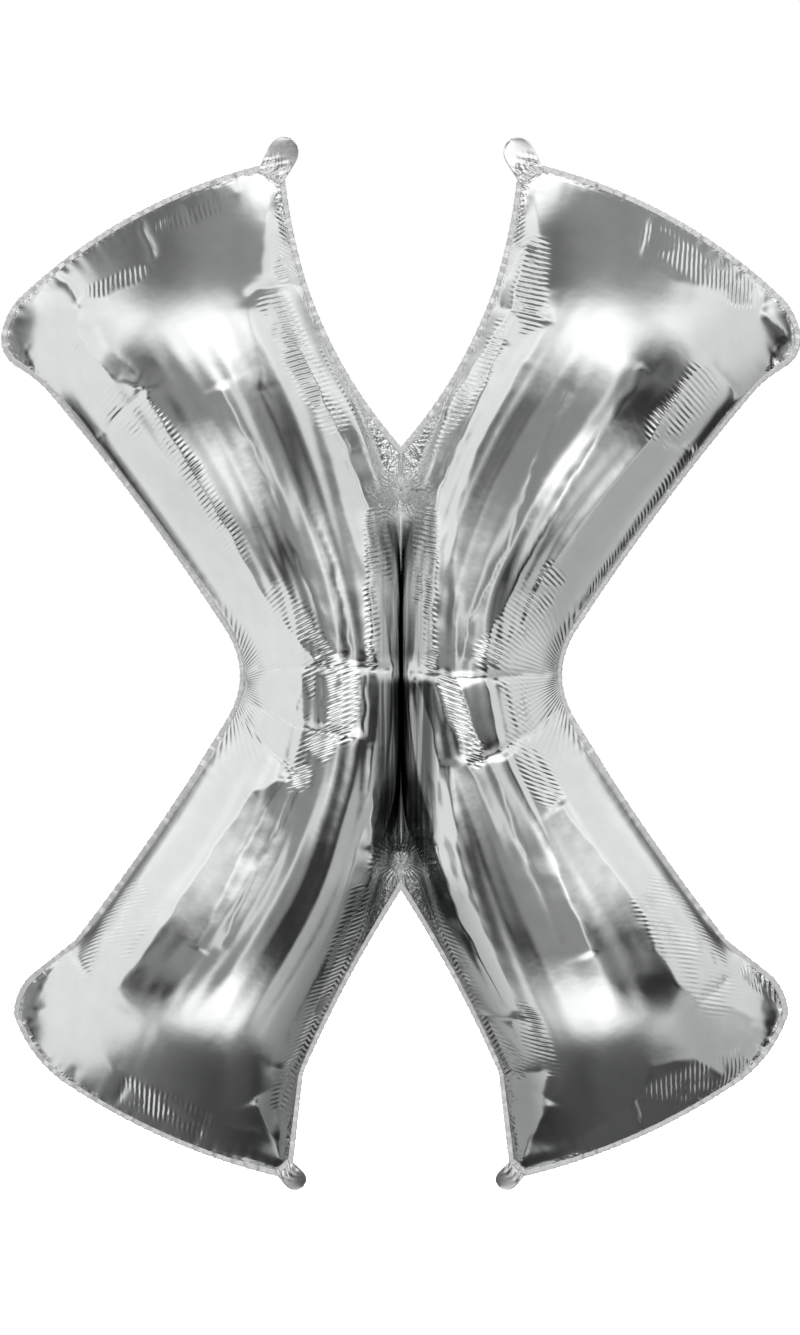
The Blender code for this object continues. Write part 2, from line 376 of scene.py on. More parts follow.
@dataclass(frozen=True)
class FilmFinish:
    """Bright metallised film. Wavelengths and depths are in metres, noise scales per metre, turns in radians."""

    name: str = "silver_film"
    gloss: float = 0.10
    gloss_spread: float = 0.10
    rib_length: float = 0.0042
    rib_depth: float = 0.00032
    sway_scale: float = 18.0
    sway_turn: float = 2.6
    uneven_scale: float = 130.0
    uneven_turn: float = 1.4
    fan_turn: float = 3.0
    fan_share: float = 0.7
    patch_scale: float = 42.0
    patch_range: tuple[float, float] = (0.30, 0.62)
    skin_scale: float = 34.0
    skin_depth: float = 0.0004
    crumple_scale: float = 230.0
    crumple_depth: float = 0.0022
    grain_scale: float = 900.0
    grain_depth: float = 0.000012
    haze_scale: float = 60.0
    # the streaks in the painted shade of the valley: their stretch, range and share
    shade_streak_scale: tuple[float, float, float] = (260.0, 0.0, 9.0)
    shade_streak_range: tuple[float, float] = (0.36, 0.58)
    shade_streak_share: float = 0.45

    def make(self) -> bpy.types.Material:
        """Ribs square to the seams in patches, soft dents between them, a faint haze, and painted shade: a dark tint,
        streaked in the valley and plain beside the lower notch.

        The height is the sum of the ribs, sines of the stored places along and across the arm and round the fans,
        and of dents, crumples and grain, which are noise times a depth.

        Returns:
            The material.
        """
        material, shader = Shader.of_material(self.name)
        place = shader.place()
        sway = shader.noise(place, self.sway_scale, 1.0)
        wander = sway * self.sway_turn + shader.noise(place, self.uneven_scale, 1.0) * self.uneven_turn
        patch = shader.noise(place, self.patch_scale, 2.0).step(*self.patch_range)
        turn = TAU / self.rib_length
        side_wave = (shader.attribute("along") * turn + wander).sine()
        cap_wave = (shader.attribute("across") * turn + wander).sine()
        fan_wave = (shader.attribute("fan") * TAU + sway * self.fan_turn).sine()
        ribs = (side_wave * shader.attribute("side_ribs") + cap_wave * shader.attribute("cap_ribs")) * patch
        ribs = ribs + fan_wave * shader.attribute("fan_ribs") * self.fan_share
        crumple = shader.noise(place, self.crumple_scale, 2.0, 0.55) * shader.attribute("crushed")
        dents = shader.noise(place, self.skin_scale, 3.0, 0.45)
        grain = shader.noise(place, self.grain_scale, 1.0)
        height = ribs * self.rib_depth + dents * self.skin_depth + crumple * self.crumple_depth
        height = height + grain * self.grain_depth
        haze = shader.noise(place, self.haze_scale, 3.0)
        colour = shader.mix(haze, Tint.SILVER_DEEP.value, Tint.SILVER.value)
        # painted shade: the colour is drawn toward a dark tint in the valley, with streaks, and beside the lower notch,
        # in place of the reflections between close walls
        drawn = shader.node("ShaderNodeVectorMath", {"operation": "MULTIPLY"}, place, self.shade_streak_scale)
        shade_streaks = shader.noise(drawn, 1.0, 2.0).step(*self.shade_streak_range)
        valley = shader.attribute("valley") * (shade_streaks * self.shade_streak_share + (1.0 - self.shade_streak_share))
        colour = shader.mix(valley.maths("MAXIMUM", shader.attribute("shaded")), colour, Tint.VALLEY_PAINTED_SHADE.value)
        shader.finish_metal(colour, haze * self.gloss_spread + self.gloss, height)
        return material


@dataclass(frozen=True)
class CrimpFinish:
    """Film pressed and crinkled by the sealing bar. Depth and spacing are in metres."""

    name: str
    tint: Tint
    gloss: float = 0.24
    gloss_spread: float = 0.18
    spacing: float = 0.0055
    depth: float = 0.0010
    fine_ratio: float = 2.7
    fine_share: float = 0.3
    softness: float = 0.4

    def make(self) -> bpy.types.Material:
        """Fine crinkles over a slightly dulled film: coarse and fine noise times the stored crimp and a depth.

        Returns:
            The material.
        """
        material, shader = Shader.of_material(self.name)
        place = shader.place()
        folds = shader.noise(place, 1.0 / self.spacing, 1.0, self.softness)
        fine = shader.noise(place, self.fine_ratio / self.spacing, 1.0, self.softness)
        height = (folds + fine * self.fine_share) * shader.attribute("crimp") * self.depth
        shader.finish_metal(self.tint.value, fine * self.gloss_spread + self.gloss, height)
        return material


@dataclass(frozen=True)
class FloorFinish:
    """Plain pale paint that glows a little."""

    name: str = "pale_floor"
    glow: float = 0.8
    mottle_scale: float = 6.0
    gloss: float = 0.6
    gloss_spread: float = 0.2

    def make(self) -> bpy.types.Material:
        """Matt, with a faint mottle.

        Returns:
            The material.
        """
        material, shader = Shader.of_material(self.name)
        mottle = shader.noise(shader.place(), self.mottle_scale, 3.0)
        surface = shader.node(
            "ShaderNodeBsdfPrincipled",
            None,
            Base_Color=Tint.FLOOR.value,
            Roughness=mottle * self.gloss_spread + self.gloss,
            Emission_Color=(1.0, 1.0, 1.0, 1.0),
            Emission_Strength=self.glow,
        )
        shader.node("ShaderNodeOutputMaterial", None, surface)
        return material


# The letter's cut


@dataclass(frozen=True)
class Bend:
    """A corner of the letter's edge, mm, and how far the next stretch swells toward +X."""

    x: float
    z: float
    swell: float


@dataclass(frozen=True)
class LetterCut:
    """The outline of the inflated letter and its welds, mm, for its right half."""

    bends: tuple[Bend, ...] = (
        Bend(0.0, 179.3, 7.6),
        Bend(76.8, 311.7, 2.1),
        Bend(94.6, 397.1, 0.0),
        Bend(116.0, 408.9, 14.8),
        Bend(313.3, 299.4, 2.2),
        Bend(326.6, 270.0, 4.6),
        Bend(312.0, 244.0, -1.0),
        Bend(289.2, 225.9, -3.9),
        Bend(143.0, 29.8, -11.3),
        Bend(142.6, -43.7, -3.0),
        Bend(266.0, -223.0, 0.0),
        Bend(302.7, -252.0, 3.4),
        Bend(316.4, -284.0, 5.0),
        Bend(278.2, -337.8, 8.8),
        Bend(101.3, -416.3, 0.0),
        Bend(88.1, -404.4, 0.0),
        Bend(80.0, -332.0, 3.4),
        Bend(0.0, -182.6, 0.0),
    )
    upper_tab: int = 2
    upper_tip: int = 5
    lower_tip: int = 12
    lower_tab: int = 15
    seam_width: float = 3.6
    spike_half_width: float = 1.8
    disc_radius: float = 7.8
    disc_points: int = 12
    upper_disc: float = 144.0
    lower_disc: float = -159.0
    mouth_step: float = 3.0
    sharpest: float = 0.35
    step: float = 2.0

    def arc(self, start: Bend, end: Bend) -> Array:
        """Points on a parabola: the chord plus 4 swell t (1 - t) sideways.

        Args:
            start: the first bend, which has a point.
            end: the next bend, which has none.

        Returns:
            Points (n, 2).
        """
        first = np.array([start.x, start.z])
        chord = np.array([end.x, end.z]) - first
        reach = np.hypot(*chord)
        side = np.array([-chord[1], chord[0]]) / reach
        side = -side if side[0] < 0.0 else side
        count = max(2, int(round(reach / self.step)))
        share = np.arange(count) / count
        return first + share[:, None] * chord + (4.0 * start.swell * share * (1.0 - share))[:, None] * side

    def half(self) -> tuple[Array, Array]:
        """The right half's edge, clockwise from the upper crotch.

        Returns:
            Points (n, 2), and the place of each bend in them.
        """
        runs = [self.arc(a, b) for a, b in zip(self.bends, self.bends[1:])]
        runs.append(np.array([[self.bends[-1].x, self.bends[-1].z]]))
        places = np.cumsum([0] + [len(run) for run in runs[:-1]])
        return np.concatenate(runs), places

    def whole(self, right: Array) -> Array:
        """The closed clockwise outline that a right half and its mirror image make."""
        return np.concatenate([right, right[-2:0:-1] * (-1.0, 1.0)])

    def inset(self, right: Array, distance: float) -> Array:
        """The closed outline of a right half, moved inwards along its mitred normals.

        Args:
            right: points (n, 2) of the right half.
            distance: how far, mm.

        Returns:
            Points (2 n - 2, 2), the right half first.
        """
        outline = self.whole(right)
        ahead = unit(np.roll(outline, -1, axis=0) - outline)
        inward = np.stack([ahead[:, 1], -ahead[:, 0]], axis=1)
        before = np.roll(inward, 1, axis=0)
        sharp = 1.0 + (inward * before).sum(axis=1)
        return outline + distance * (inward + before) / np.maximum(sharp, self.sharpest)[:, None]

    def slit(self, height: float, turn: float, mouth: float) -> Array:
        """The right side of a weld: from the notch down the spike and round the disc.

        Args:
            height: the disc's middle.
            turn: 1 where the notch is above the disc, -1 where it is below.
            mouth: the height where the spike starts.

        Returns:
            Points (n, 2) from the notch to the far side of the disc, on the middle line.
        """
        start = math.asin(self.spike_half_width / self.disc_radius)
        angle = np.linspace(start, math.pi, self.disc_points)
        ring = np.stack([np.sin(angle), turn * np.cos(angle)], axis=1) * self.disc_radius + (0.0, height)
        return np.concatenate([[[self.spike_half_width, mouth - self.mouth_step * turn]], ring])


@dataclass
class LobeGrid:
    """The flat grid of one lobe: rows run across the arm, columns from end to end.

    Column 0 follows the upper notch, the weld, the middle line, the lower weld and the lower notch. The knots are
    the shares of the outer side above and below the waist that face the two ends of a weld.
    """

    cut: LetterCut
    rows: int
    columns: int
    weld_weight: float = 0.8
    upper_knots: tuple[float, float] = (0.70, 0.80)
    lower_knots: tuple[float, float] = (0.20, 0.30)
    soften_rounds: int = 6
    relax_rounds: int = 300
    first: int = field(init=False)
    last: int = field(init=False)
    points: Array = field(init=False)

    def __post_init__(self) -> None:
        """Lays the four sides, fills between them and relaxes the fill."""
        cut = self.cut
        line, places = cut.half()
        edge = cut.inset(line, cut.seam_width)[: len(line)]
        upper, tip, low_tip, lower = places[[cut.upper_tab, cut.upper_tip, cut.lower_tip, cut.lower_tab]]
        notch, low_notch = edge[: upper + 1][::-1], edge[lower:][::-1]
        top = cut.slit(cut.upper_disc, 1.0, notch[-1, 1])
        bottom = cut.slit(cut.lower_disc, -1.0, low_notch[0, 1])[::-1]
        middle = np.stack([np.zeros(2), [top[-1, 1], bottom[0, 1]]], axis=1)
        inner, marks = self.inner_side([notch, top, middle, bottom, low_notch])
        outer = self.outer_side(edge[tip : low_tip + 1], marks)
        share = np.arange(self.columns + 1) / self.columns
        caps = resample(edge[upper : tip + 1], share), resample(edge[low_tip : lower + 1][::-1], share)
        self.first, self.last = int(marks[2]), int(marks[3])
        self.points = self.relax(self.fill(inner, outer, *caps))

    def inner_side(self, runs: list[Array]) -> tuple[Array, Array]:
        """Spreads the rows over the inner side's runs, with the welds a little coarser.

        Args:
            runs: the upper notch, the weld, the middle line, the lower weld and the lower notch.

        Returns:
            Points (rows + 1, 2), and the row where each run starts and the last one ends.
        """
        weld = self.weld_weight
        weight = np.array([length_of(run) for run in runs]) * (1.0, weld, 1.0, weld, 1.0)
        counts = np.round(self.rows * weight / weight.sum()).astype(int)
        counts[2] += self.rows - counts.sum()
        parts = [resample(run, np.arange(n) / n) for run, n in zip(runs, counts)]
        parts.append(runs[-1][-1:])
        return np.concatenate(parts), np.concatenate([[0], np.cumsum(counts)])

    def outer_side(self, side: Array, marks: Array) -> Array:
        """Spreads the rows over the outer side so that they leave square to the arm.

        Args:
            side: points (n, 2) from the upper tip to the lower tip.
            marks: the inner side's rows, as inner_side gives them.

        Returns:
            Points (rows + 1, 2).
        """
        side = evened(side, self.soften_rounds)
        reach = np.concatenate([[0.0], np.cumsum(np.linalg.norm(np.diff(side, axis=0), axis=1))])
        waist, total = reach[np.argmin(side[:, 0])], reach[-1]
        above = [share * waist for share in self.upper_knots]
        below = [waist + share * (total - waist) for share in self.lower_knots]
        rows = [0, marks[1], marks[2], 0.5 * (marks[2] + marks[3]), marks[3], marks[4], self.rows]
        spread = np.interp(np.arange(self.rows + 1), rows, [0.0, *above, waist, *below, total])
        spread = evened(spread, self.rows // 2)
        return np.stack([np.interp(spread, reach, side[:, k]) for k in range(2)], axis=1)

    def fill(self, inner: Array, outer: Array, top: Array, bottom: Array) -> Array:
        """Coons patch: the sum of both rulings less the bilinear patch of the corners.

        Args:
            inner: the side of column 0, points (rows + 1, 2).
            outer: the side of the last column.
            top: the first row, points (columns + 1, 2).
            bottom: the last row.

        Returns:
            Points (rows + 1, columns + 1, 2).
        """
        u = (np.arange(self.columns + 1) / self.columns)[None, :, None]
        v = (np.arange(self.rows + 1) / self.rows)[:, None, None]
        ruled = (1 - u) * inner[:, None] + u * outer[:, None] + (1 - v) * top[None] + v * bottom[None]
        twice = (1 - v) * ((1 - u) * inner[0] + u * outer[0]) + v * ((1 - u) * inner[-1] + u * outer[-1])
        return ruled - twice

    def relax(self, points: Array) -> Array:
        """Moves each inner point to the mean of its four neighbours, many times.

        Args:
            points: the filled grid, changed in place.

        Returns:
            The same array.
        """
        for _ in range(self.relax_rounds):
            mean = points[:-2, 1:-1] + points[2:, 1:-1] + points[1:-1, :-2] + points[1:-1, 2:]
            points[1:-1, 1:-1] = 0.25 * mean
        return points


@dataclass
class FilmGauge:
    """How much more film the cut holds than the inflated outline, place by place. Lengths are in mm."""

    grid: LobeGrid
    flat_width: float = 265.0
    cap_start: float = 110.0
    cap_fade: float = 60.0
    least_across: float = 1.03
    tube_depth: float = 77.0
    valley_saving: float = 34.0
    valley_height: float = -7.5
    valley_reach: float = 150.0
    end_slack: float = 0.34
    end_reach: float = 165.0
    end_gather: float = 55.0
    end_least: float = 0.12
    side_slack: float = 0.022
    side_reach: float = 16.0
    waist_slack: float = 0.05
    waist_reach: float = 52.0
    waist_start: float = 0.05
    waist_full: float = 0.5
    middle_slack: float = 0.03
    middle_reach: float = 80.0
    gather: float = 22.0
    gather_least: float = 0.25
    down: Array = field(init=False)
    over: Array = field(init=False)
    from_top: Array = field(init=False)
    from_cap: Array = field(init=False)
    from_inner: Array = field(init=False)
    from_outer: Array = field(init=False)
    from_seam: Array = field(init=False)

    def __post_init__(self) -> None:
        """Measures the flat grid: its steps, and how far each point lies from the sides."""
        flat = self.grid.points
        self.down = np.linalg.norm(np.diff(flat, axis=0), axis=2)
        self.over = np.linalg.norm(np.diff(flat, axis=1), axis=2)
        self.from_top = np.cumsum(np.vstack([np.zeros((1, flat.shape[1])), self.down]), axis=0)
        self.from_cap = np.minimum(self.from_top, self.from_top[-1:] - self.from_top)
        self.from_inner = np.cumsum(np.hstack([np.zeros((flat.shape[0], 1)), self.over]), axis=1)
        self.from_outer = self.from_inner[:, -1:] - self.from_inner
        inner = np.where(self.open_side(), FAR, self.from_inner)
        self.from_seam = np.minimum(np.minimum(self.from_cap, self.from_outer), inner)

    def open_side(self) -> Array:
        """Which rows (n, 1) end on the middle line, where the lobes join without a seam."""
        number = np.arange(self.grid.points.shape[0])[:, None]
        return (number > self.grid.first) & (number < self.grid.last)

    def along(self) -> Array:
        """Excess along the arm: 1 + end pillows + seam ruffles + the waist's kink, gathered into the seam.

        Returns:
            The film's length over the outline's, per grid point.
        """
        height = self.grid.points[:, :, 1]
        share = np.arange(height.shape[1]) / (height.shape[1] - 1)
        ends = self.end_slack * (1.0 - smooth(self.from_cap / self.end_reach))
        ends = ends * (self.end_least + (1.0 - self.end_least) * smooth(self.from_seam / self.end_gather))
        kink = bell(height / self.waist_reach) * smooth((share - self.waist_start) / self.waist_full)[None]
        middle = bell(height / self.middle_reach)
        ruffle = bell((self.from_seam - self.side_reach) / self.side_reach)
        excess = ends + self.waist_slack * kink + self.middle_slack * middle + self.side_slack * ruffle
        return 1.0 + excess * (self.gather_least + (1.0 - self.gather_least) * smooth(self.from_seam / self.gather))

    def across(self) -> Array:
        """Excess across the arm, one number per row: half an ellipse over the row's width, as deep as the tube.

        Between the welds the valley takes less film, and by the caps the cut is no wider than flat_width.

        Returns:
            The film's width over the outline's, per row.
        """
        width = self.over.sum(axis=1)
        height = self.grid.points[:, -1, 1]
        half, deep = 0.5 * width, self.tube_depth
        round_way = 1.5 * math.pi * (half + deep) - 0.5 * math.pi * np.sqrt((3 * half + deep) * (half + 3 * deep))
        middle = np.maximum(1.0 - ((height - self.valley_height) / self.valley_reach) ** 2, 0.0)
        tube = (round_way - self.valley_saving * middle) / width
        near_cap = smooth((self.cap_start - self.from_cap.mean(axis=1)) / self.cap_fade)
        narrow = np.minimum(tube, self.flat_width / width)
        return np.maximum(tube + (narrow - tube) * near_cap, self.least_across)

    def rest_lengths(self) -> dict[str, Array]:
        """The film's own lengths between grid points.

        Returns:
            Lengths by direction: down, over, and the falling and rising diagonals.
        """
        flat = self.grid.points
        along, across = self.along(), self.across()[:, None]
        longer = 0.5 * (along[1:] + along[:-1])
        wider = np.broadcast_to(across, self.over.shape)
        fall, stride = np.diff(flat, axis=0), np.diff(flat, axis=1)
        down = 0.5 * (fall[:, 1:] + fall[:, :-1]) * (0.5 * (longer[:, 1:] + longer[:, :-1]))[..., None]
        over = 0.5 * (stride[1:] + stride[:-1]) * (0.5 * (wider[1:] + wider[:-1]))[..., None]
        lengths = {
            "down": self.down * longer,
            "over": self.over * wider,
            "falling": np.linalg.norm(down + over, axis=2),
            "rising": np.linalg.norm(down - over, axis=2),
        }
        return {key: value.astype(np.float32) for key, value in lengths.items()}


@dataclass(frozen=True)
class Pass:
    """One stage of the inflation: grid size, steps and push per step in mm."""

    rows: int
    columns: int
    steps: int
    push: float


@dataclass(frozen=True)
class Spot:
    """A corner of the letter where the film lies calm: its place and reach, mm, and how much is evened out."""

    name: str
    x: float
    z: float
    reach: float
    share: float


@dataclass
class Inflation:
    """Blows up two mirrored lobes of inextensible film that share the middle line between the welds.

    Each step pushes every point along its normal, then pulls the grid's lengths back to the film's own.
    """

    cut: LetterCut
    passes: tuple[Pass, ...]
    sweeps: int = 8
    drag: float = 0.9
    squash: float = 0.5
    shear: float = 0.7
    stiffness: float = 0.10
    clearance: float = 0.2
    jitter: float = 0.25
    seed: int = 3
    pillow_depth: float = 55.0
    pillow_reach: float = 95.0
    calm_rounds: float = 14.0
    combing: float = 12.0
    coarse_rows: float = 84.0
    spots: tuple[Spot, ...] = (
        Spot("upper tab corner", 96.0, 395.0, 105.0, 0.9),
        Spot("upper tip", 322.0, 270.0, 95.0, 0.9),
        Spot("lower tab corner", 90.0, -408.0, 100.0, 0.9),
        Spot("lower tip", 312.0, -286.0, 95.0, 0.9),
        Spot("waist corner", 141.0, -5.0, 85.0, 0.6),
    )
    grid: LobeGrid = field(init=False)
    gauge: FilmGauge = field(init=False)
    shape: Array = field(init=False)
    free: Array = field(init=False)
    rest: dict[str, Array] = field(init=False)
    cell: float = field(init=False)

    def run(self) -> None:
        """Runs every stage. The shape is points (2 lobes, rows, columns, 3) in mm, the right lobe first."""
        before: Optional[tuple[Array, LobeGrid]] = None
        for stage in self.passes:
            grid = LobeGrid(self.cut, stage.rows, stage.columns)
            self.gauge = FilmGauge(grid)
            self.rest = self.gauge.rest_lengths()
            self.prepare(grid, before, self.jitter)
            self.inflate(stage)
            self.calm()
            before = (self.shape, grid)
            LOG.info("film %d x %d: half depth %.1f mm", stage.rows, stage.columns, -self.shape[..., 1].min())

    def calm(self) -> None:
        """Evens out puckers by repeated means of neighbours, most within half a spot's reach, then combs lengthwise."""
        flat = self.grid.points
        share = np.zeros(flat.shape[:2])
        for spot in self.spots:
            apart = np.hypot(flat[..., 0] - spot.x, flat[..., 1] - spot.z)
            share = np.maximum(share, spot.share * (1.0 - smooth((apart / spot.reach - 0.5) / 0.5)))
        share = (share * self.free)[None, 1:-1, 1:-1, None].astype(np.float32)
        finer = (self.grid.rows / self.coarse_rows) ** 2
        shape = self.shape
        for _ in range(int(self.calm_rounds * finer)):
            mean = 0.25 * (shape[:, :-2, 1:-1] + shape[:, 2:, 1:-1] + shape[:, 1:-1, :-2] + shape[:, 1:-1, 2:])
            shape[:, 1:-1, 1:-1] += share * (mean - shape[:, 1:-1, 1:-1])
        loose = (0.5 * self.free)[None, 1:-1, :, None].astype(np.float32)
        for _ in range(int(self.combing * finer)):
            mean = 0.5 * (shape[:, :-2] + shape[:, 2:])
            shape[:, 1:-1] += loose * (mean - shape[:, 1:-1])
        self.share_middle()
        self.keep_clear()

    def prepare(self, grid: LobeGrid, before: Optional[tuple[Array, LobeGrid]], uneven: float) -> None:
        """Starts from a soft pillow or from the coarser stage, with the seam held and a little unevenness.

        Args:
            grid: the flat grid of this stage.
            before: the coarser stage's shape and grid, None for the first stage.
            uneven: how far the film is shaken, as a share of a grid step.
        """
        flat = grid.points
        held = np.zeros(flat.shape[:2], bool)
        held[0], held[-1], held[:, -1] = True, True, True
        held[: grid.first + 1, 0], held[grid.last :, 0] = True, True
        self.free = np.where(held, 0.0, 1.0).astype(np.float32)
        if before is None:
            rise = np.sqrt(1.0 - (1.0 - np.clip(self.gauge.from_seam / self.pillow_reach, 0.0, 1.0)) ** 2)
            lobe = np.stack([flat[..., 0], -self.pillow_depth * rise, flat[..., 1]], axis=-1)
            start = np.stack([lobe, lobe * (-1.0, 1.0, 1.0)])
        else:
            start = self.refine(before[0], before[1], grid)
            seam = np.stack([flat[held][:, 0], np.zeros(held.sum()), flat[held][:, 1]], axis=-1)
            start[0, held] = seam
            start[1, held] = seam * (-1.0, 1.0, 1.0)
        noise = np.random.default_rng(self.seed).normal(0.0, 1.0, start.shape)
        for _ in range(2):
            noise[:, 1:-1] = 0.25 * (noise[:, :-2] + 2.0 * noise[:, 1:-1] + noise[:, 2:])
            noise[:, :, 1:-1] = 0.25 * (noise[:, :, :-2] + 2.0 * noise[:, :, 1:-1] + noise[:, :, 2:])
        self.cell = float(np.median(self.gauge.down))
        start = start + noise * (uneven * self.cell) * self.free[None, :, :, None]
        self.shape = start.astype(np.float32)
        self.grid = grid
        self.share_middle()

    def refine(self, coarse: Array, old: LobeGrid, new: LobeGrid) -> Array:
        """Cubic steps from a coarse grid to a finer one, with the ends of the middle line matched.

        Args:
            coarse: the coarse shape.
            old: its grid.
            new: the finer grid.

        Returns:
            The shape on the finer grid.
        """
        marks_new, marks_old = [0, new.first, new.last, new.rows], [0, old.first, old.last, old.rows]
        row = np.interp(np.arange(new.rows + 1), marks_new, marks_old)
        column = np.arange(new.columns + 1) * old.columns / new.columns
        return self.between(self.between(coarse, row, 1), column, 2)

    def between(self, points: Array, place: Array, axis: int) -> Array:
        """Points between the grid's lines, by Catmull-Rom weights on the four nearest.

        Args:
            points: the grid.
            place: fractional line numbers.
            axis: the axis that they run along.

        Returns:
            The grid with one line per place.
        """
        last = points.shape[axis] - 1
        line = np.minimum(place.astype(int), last - 1)
        shape = [1] * points.ndim
        shape[axis] = len(place)
        t = (place - line).reshape(shape)
        weights = (
            0.5 * (-t + 2.0 * t**2 - t**3),
            0.5 * (2.0 - 5.0 * t**2 + 3.0 * t**3),
            0.5 * (t + 4.0 * t**2 - 3.0 * t**3),
            0.5 * (t**3 - t**2),
        )
        here, ahead = np.take(points, line, axis=axis), np.take(points, line + 1, axis=axis)
        total = np.zeros_like(here, dtype=float)
        for step, weight in enumerate(weights):
            picked = np.take(points, np.clip(line + step - 1, 0, last), axis=axis)
            if step == 0:
                picked = np.where((line == 0).reshape(shape), 2.0 * here - ahead, picked)
            if step == 3:
                picked = np.where((line == last - 1).reshape(shape), 2.0 * ahead - here, picked)
            total += weight * picked
        return total

    def dress(self, rows: int, columns: int) -> Array:
        """The inflated film on a finer grid, for the folds to be laid on.

        Args:
            rows: the finer grid's rows.
            columns: its columns.

        Returns:
            Points (2 lobes, rows + 1, columns + 1, 3) in mm.
        """
        grid = LobeGrid(self.cut, rows, columns)
        self.gauge = FilmGauge(grid)
        self.prepare(grid, (self.shape, self.grid), 0.0)
        return self.shape

    def share_middle(self) -> None:
        """Both lobes keep one point on each row of the middle line, midway between theirs."""
        rows = slice(self.grid.first + 1, self.grid.last)
        mean = 0.5 * (self.shape[0, rows, 0] + self.shape[1, rows, 0])
        mean[:, 0] = 0.0
        self.shape[:, rows, 0] = mean

    def pull(self, one: tuple, two: tuple, rest: Array, tight: float, slack: float) -> None:
        """Moves pairs of points toward the film's length between them.

        Args:
            one: the slices of the first points, without the lobe axis.
            two: the slices of the second points.
            rest: the film's lengths.
            tight: share of a stretch that is taken out.
            slack: share of a squeeze that is taken out.
        """
        a, b = self.shape[(slice(None), *one)], self.shape[(slice(None), *two)]
        gap = b - a
        length = np.sqrt(np.einsum("...i,...i->...", gap, gap)) + 1e-6
        strain = (length - rest) / length
        first, second = self.free[one], self.free[two]
        share = np.where(strain > 0.0, tight, slack) * strain / np.maximum(first + second, 1e-6)
        move = share[..., None] * gap
        a += move * first[..., None]
        b -= move * second[..., None]

    @staticmethod
    def pairs(start: int, last: int, apart: int) -> tuple[slice, slice]:
        """Grid lines in pairs that share no line.

        Args:
            start: the first line.
            last: the number of the grid's last line.
            apart: how many lines lie from one line of a pair to the other.

        Returns:
            The first and the second lines of the pairs.
        """
        return slice(start, last + 1 - apart, 2 * apart), slice(start + apart, last + 1, 2 * apart)

    def sweep(self) -> None:
        """One round over all lengths, in groups that share no point."""
        rows, columns = self.free.shape[0] - 1, self.free.shape[1] - 1
        every, left, right = slice(None), slice(0, columns), slice(1, columns + 1)
        rest, shear = self.rest, self.shear
        for odd in (0, 1):
            upper, lower = self.pairs(odd, rows, 1)
            self.pull((upper, every), (lower, every), rest["down"][upper], 1.0, self.squash)
            self.pull((upper, left), (lower, right), rest["falling"][upper], shear, shear * self.squash)
            self.pull((upper, right), (lower, left), rest["rising"][upper], shear, shear * self.squash)
        for odd in (0, 1):
            near, far = self.pairs(odd, columns, 1)
            self.pull((every, near), (every, far), rest["over"][:, near], 1.0, self.squash)
        self.stiffen(rows, columns)
        self.share_middle()

    def stiffen(self, rows: int, columns: int) -> None:
        """Keeps points two apart from folding onto each other, which rounds the creases a little.

        Args:
            rows: the number of the last row.
            columns: the number of the last column.
        """
        down, over = self.rest["down"], self.rest["over"]
        every = slice(None)
        for start in range(4):
            near, far = self.pairs(start, rows, 2)
            self.pull((near, every), (far, every), (down[1:] + down[:-1])[near], 0.0, self.stiffness)
            near, far = self.pairs(start, columns, 2)
            self.pull((every, near), (every, far), (over[:, 1:] + over[:, :-1])[:, near], 0.0, self.stiffness)

    def keep_clear(self) -> None:
        """The film stays in front of the seam's plane, and each lobe on its own side beside the notches."""
        loose = self.free > 0.0
        depth = self.shape[..., 1]
        np.minimum(depth, -self.clearance, out=depth, where=loose[None])
        apart = loose.copy()
        apart[self.grid.first + 1 : self.grid.last, 0] = False
        right, left = self.shape[0, ..., 0], self.shape[1, ..., 0]
        np.maximum(right, self.clearance, out=right, where=apart)
        np.minimum(left, -self.clearance, out=left, where=apart)

    def normals(self) -> Array:
        """Outward area vectors: the cross product of the steps along and across.

        Returns:
            Vectors (2 lobes, rows, columns, 3), four times a grid cell's area long.
        """
        shape = self.shape
        down, over = np.zeros_like(shape), np.zeros_like(shape)
        down[:, 1:-1] = shape[:, 2:] - shape[:, :-2]
        over[:, :, 1:-1] = shape[:, :, 2:] - shape[:, :, :-2]
        over[:, :, 0] = 2.0 * (shape[:, :, 1] - shape[:, :, 0])
        out = np.cross(down, over)
        out[1] *= -1.0
        rows = slice(self.grid.first + 1, self.grid.last)
        mean = 0.5 * (out[0, rows, 0] + out[1, rows, 0])
        mean[:, 0] = 0.0
        out[:, rows, 0] = mean
        return out

    def inflate(self, stage: Pass) -> None:
        """Steps the film: push, drag, then sweeps that restore its lengths.

        Args:
            stage: how many steps, and the push.
        """
        speed = np.zeros_like(self.shape)
        weight = stage.push / (4.0 * self.cell**2) * self.free[None, :, :, None]
        for _ in range(stage.steps):
            speed = speed * self.drag + self.normals() * weight
            before = self.shape.copy()
            self.shape += speed
            for _ in range(self.sweeps):
                self.sweep()
                self.keep_clear()
            speed = self.shape - before


# Folds, ribs and waves


class Way(Enum):
    """Which way a run of ribs repeats."""

    ARM = "along the arm"
    CAP = "along the arm's end"


@dataclass(frozen=True)
class Fold:
    """A crease in the film: its height (negative for a groove) and spread, mm, and its line in the letter's plane."""

    name: str
    lift: float
    spread: float
    line: tuple[tuple[float, float], ...]


@dataclass(frozen=True)
class RibBlock:
    """A patch of fine ribs: half its width, mm, its strength, the way the ribs repeat, and its middle line."""

    half_width: float
    strength: float
    way: Way
    line: tuple[tuple[float, float], ...]


@dataclass(frozen=True)
class RibFan:
    """Ribs that spread from a point: its place, where they start and end, mm, their strength and their number."""

    x: float
    z: float
    start: float
    reach: float
    strength: float
    ribs: int


